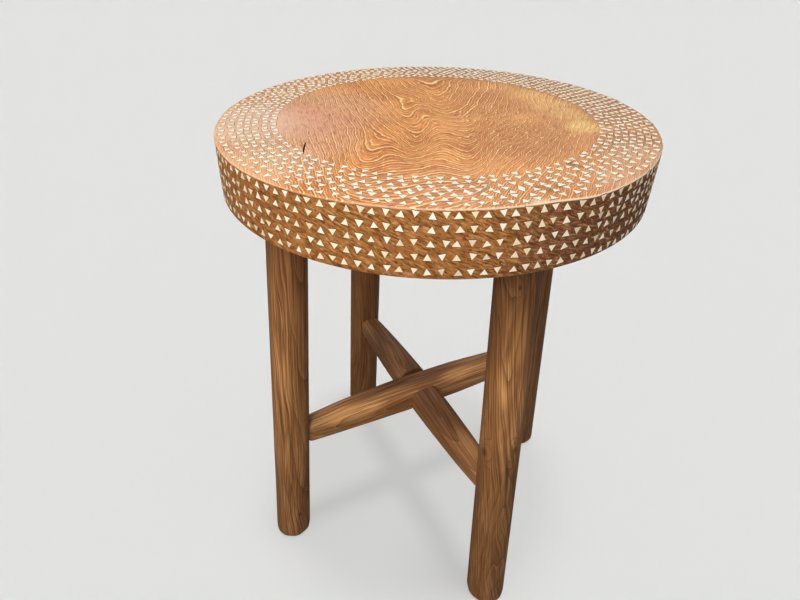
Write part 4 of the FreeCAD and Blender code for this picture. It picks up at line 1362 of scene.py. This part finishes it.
    finished = []
    for stand, margin, material in ((given["Stand"], 0, shell), (MASTIC_STAND, MASTIC_MARGIN, mastic)):
        depth = add_node(tree, "ShaderNodeMath", [stand, CHIP_BURIED], operation="ADD")
        chip = add_node(tree, "GeometryNodeMeshCone", {
            "Vertices": 3, "Radius Top": CHIP_TOP_SHARE, "Radius Bottom": 1, "Depth": depth,
        })
        wide = add_node(tree, "ShaderNodeMath", [given["Chip Width"], 2 * margin], operation="ADD")
        wide = add_node(tree, "ShaderNodeMath", [wide, TRIANGLE_WIDTH], operation="DIVIDE")
        tall = add_node(tree, "ShaderNodeMath", [given["Chip Height"], 2 * margin], operation="ADD")
        tall = add_node(tree, "ShaderNodeMath", [tall, TRIANGLE_HEIGHT], operation="DIVIDE")
        sizes = add_node(tree, "ShaderNodeCombineXYZ", [tall, wide, 1])
        centred = add_node(tree, "ShaderNodeMath", [tall, -TRIANGLE_MIDDLE], operation="MULTIPLY")
        centred = add_node(tree, "ShaderNodeCombineXYZ", [centred, 0, -CHIP_BURIED])
        chip = add_node(tree, "GeometryNodeTransform", {
            "Geometry": chip, "Translation": centred.outputs[0], "Scale": sizes.outputs[0],
        })
        placed = add_node(tree, "GeometryNodeInstanceOnPoints", {
            "Points": tinted, "Selection": wanted, "Instance": chip,
            "Rotation": turned.outputs[0], "Scale": uneven.outputs[0],
        })
        real = add_node(tree, "GeometryNodeRealizeInstances", [placed])
        # The corners are snapped by hand, so no two chips have quite the same shape
        snapped = add_node(tree, "ShaderNodeTexNoise", {"Scale": CORNER_SNAP_WAVES, "Detail": 0})
        shift = add_node(tree, "ShaderNodeVectorMath", [
            snapped.outputs["Color"], (0.5, 0.5, 0.5),
        ], operation="SUBTRACT")
        lift = add_node(tree, "ShaderNodeVectorMath", [shift, facing], operation="DOT_PRODUCT")
        lift = add_node(tree, "ShaderNodeVectorMath", {
            0: facing, "Scale": lift.outputs["Value"],
        }, operation="SCALE")
        shift = add_node(tree, "ShaderNodeVectorMath", [shift, lift], operation="SUBTRACT")
        shift = add_node(tree, "ShaderNodeVectorMath", {0: shift, "Scale": CORNER_SNAP}, operation="SCALE")
        worn = add_node(tree, "GeometryNodeSetPosition", {"Geometry": real, "Offset": shift.outputs[0]})
        finished.append(add_node(tree, "GeometryNodeSetMaterial", {"Geometry": worn, "Material": material}))
    both = add_node(tree, "GeometryNodeJoinGeometry")
    for part in finished:
        tree.links.new(part.outputs[0], both.inputs[0])
    add_node(tree, "NodeGroupOutput", [both])
    return tree


# River shell, filed flat and polished: ivory, some chips warmer or greyer, faintly banded,
# and whiter on the top than on the edge, whose chips are painted warmer and darker as a
# painted shade. Its bands and tints show as an uneven white
SHELL_IVORY = "#FFFAEA"
SHELL_WARM = "#F0D9A8"
SHELL_GREY = "#DDD1B8"
SHELL_BANDS_TO_A_METRE = 420
shell = new_material("polished_river_shell")
tree = shell.node_tree
tint = add_node(tree, "ShaderNodeAttribute", attribute_name="tint")
warm = add_node(tree, "ShaderNodeMapRange", {"Value": tint.outputs["Fac"], "From Max": 1, "To Max": 0.95})
facing = add_node(tree, "ShaderNodeAttribute", attribute_name="outward")
facing_up = add_node(tree, "ShaderNodeSeparateXYZ", [facing.outputs["Vector"]]).outputs["Z"]
# The edge's chips are painted warmer and darker than the top's: painted shade
edge_painted_shade = add_node(tree, "ShaderNodeMapRange", {"Value": facing_up, "To Min": 1, "To Max": 0.35})
warm = add_node(tree, "ShaderNodeMath", [warm, edge_painted_shade], operation="MULTIPLY")
colour = mix_colour(tree, warm, linear(SHELL_IVORY), linear(SHELL_WARM))
colour = lay_where(tree, colour, tint.outputs["Fac"], 0.9, 0.93, 0.8, SHELL_GREY)
shell_place = add_node(tree, "ShaderNodeTexCoord").outputs["Object"]
bands = add_node(tree, "ShaderNodeTexNoise", {
    "Vector": shell_place, "Scale": SHELL_BANDS_TO_A_METRE, "Detail": 2,
})
colour = lay_where(tree, colour, bands, 0.45, 0.75, 0.45, SHELL_WARM)
shader = add_node(tree, "ShaderNodeBsdfPrincipled", {"Base Color": colour, "Roughness": 0.3, "IOR": 1.53})
add_node(tree, "ShaderNodeOutputMaterial", [shader])

# Mastic: pitch mixed with sawdust, dark brown and matt, seen as a thin line round a chip
MASTIC_BROWN = "#33200F"
MASTIC_DUSTY = "#553522"
SPECKS_TO_A_METRE = 900
mastic = new_material("pitch_and_sawdust_mastic")
tree = mastic.node_tree
mastic_place = add_node(tree, "ShaderNodeTexCoord").outputs["Object"]
specks = add_node(tree, "ShaderNodeTexNoise", {
    "Vector": mastic_place, "Scale": SPECKS_TO_A_METRE, "Detail": 1,
})
colour = mix_colour(tree, specks, linear(MASTIC_BROWN), linear(MASTIC_DUSTY))
shader = add_node(tree, "ShaderNodeBsdfPrincipled", {"Base Color": colour, "Roughness": 0.7})
add_node(tree, "ShaderNodeOutputMaterial", [shader])

TOP_CHIP = (7 * MILLIMETRE, 6.1 * MILLIMETRE)
EDGE_CHIP = (7 * MILLIMETRE, 5.9 * MILLIMETRE)
CHIP_STAND = 0.3 * MILLIMETRE
TOP_SLIP = 0.5 * MILLIMETRE
EDGE_SLIP = 0.45 * MILLIMETRE
TOP_DRIFT = 2 * MILLIMETRE
EDGE_DRIFT = 4 * MILLIMETRE
FIRST_ROW_DRIFT = 1.5 * MILLIMETRE
TOP_BUNCHING = 0.2
TOP_COUNTS = (138, 134, 130, 126, 122, 118, 112)
RING_SHARES = (0, 0.19, 0.35, 0.49, 0.64, 0.83, 1)
CLOSE_RING_SHARES = (0, 0.145, 0.285, 0.43, 0.71, 0.855, 1)
EDGE_COUNT = 126
CLOSE_ROW_LEVELS = [level * MILLIMETRE for level in (595.6, 587.6, 568.9, 557.6, 545.3)]
# The ring and the row that are only on one side of the slab: chips to a full turn, and place
EIGHTH_RING_COUNT = 124
EIGHTH_RING_SHARE = 0.57
SIXTH_ROW_LEVEL = 578.6 * MILLIMETRE

setting = chip_tree(shell, mastic)
# Each ring's or row's name, chips, share of the band and share where it closes up, and a
# row's level and its level where it closes up
rings_and_rows = []
for number, ring in enumerate(zip(TOP_COUNTS, RING_SHARES, CLOSE_RING_SHARES), 1):
    rings_and_rows.append((f"shell_top_ring_{number}", *ring, 0, 0))
for number, close_level in enumerate(CLOSE_ROW_LEVELS, 1):
    low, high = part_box(f"shell_side_row_{number}")
    even_level = (low.z + high.z) / 2
    rings_and_rows.append((f"shell_side_row_{number}", EDGE_COUNT, 0, 0, even_level, close_level))
part_ring = (EIGHTH_RING_COUNT, EIGHTH_RING_SHARE, EIGHTH_RING_SHARE, 0, 0)
rings_and_rows.append(("shell_top_ring_part", *part_ring))
part_row = (EDGE_COUNT, 0, 0, SIXTH_ROW_LEVEL, SIXTH_ROW_LEVEL)
rings_and_rows.append(("shell_side_row_part", *part_row))

for seed, (node, count, share, close_share, row_level, close_level) in enumerate(rings_and_rows, 1):
    on_edge = "side" in node
    width, height = EDGE_CHIP if on_edge else TOP_CHIP
    above = SLAB_TOP + LAID_FROM
    drift = TOP_DRIFT
    if on_edge:
        drift = FIRST_ROW_DRIFT if node.endswith("row_1") else EDGE_DRIFT
    given = {
        "Slab": slab, "Count": count, "On Edge": on_edge, "Chip Width": width, "Chip Height": height,
        "Radius": SLAB_RADIUS + LAID_FROM, "Share": share, "Share Crowded": close_share,
        "Level": row_level if on_edge else above, "Level Crowded": close_level if on_edge else above,
        "Stand": CHIP_STAND, "Slip": EDGE_SLIP if on_edge else TOP_SLIP, "Seed": seed, "Drift": drift,
        "Bunching": 0 if on_edge else TOP_BUNCHING, "Only Crowded": node.endswith("part"),
    }
    inlay = place_in_scene(node.replace("shell", "inlay"), bpy.data.meshes.new(node))
    nodes = inlay.modifiers.new("set_chips", "NODES")
    nodes.node_group = setting
    for socket in setting.interface.items_tree:
        if socket.in_out == "INPUT":
            nodes[socket.identifier] = given[socket.name]
    keep_result(inlay)
    lit_by_fill.objects.link(inlay)
    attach(inlay, "root")
    if not node.endswith("part"):
        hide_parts(node)
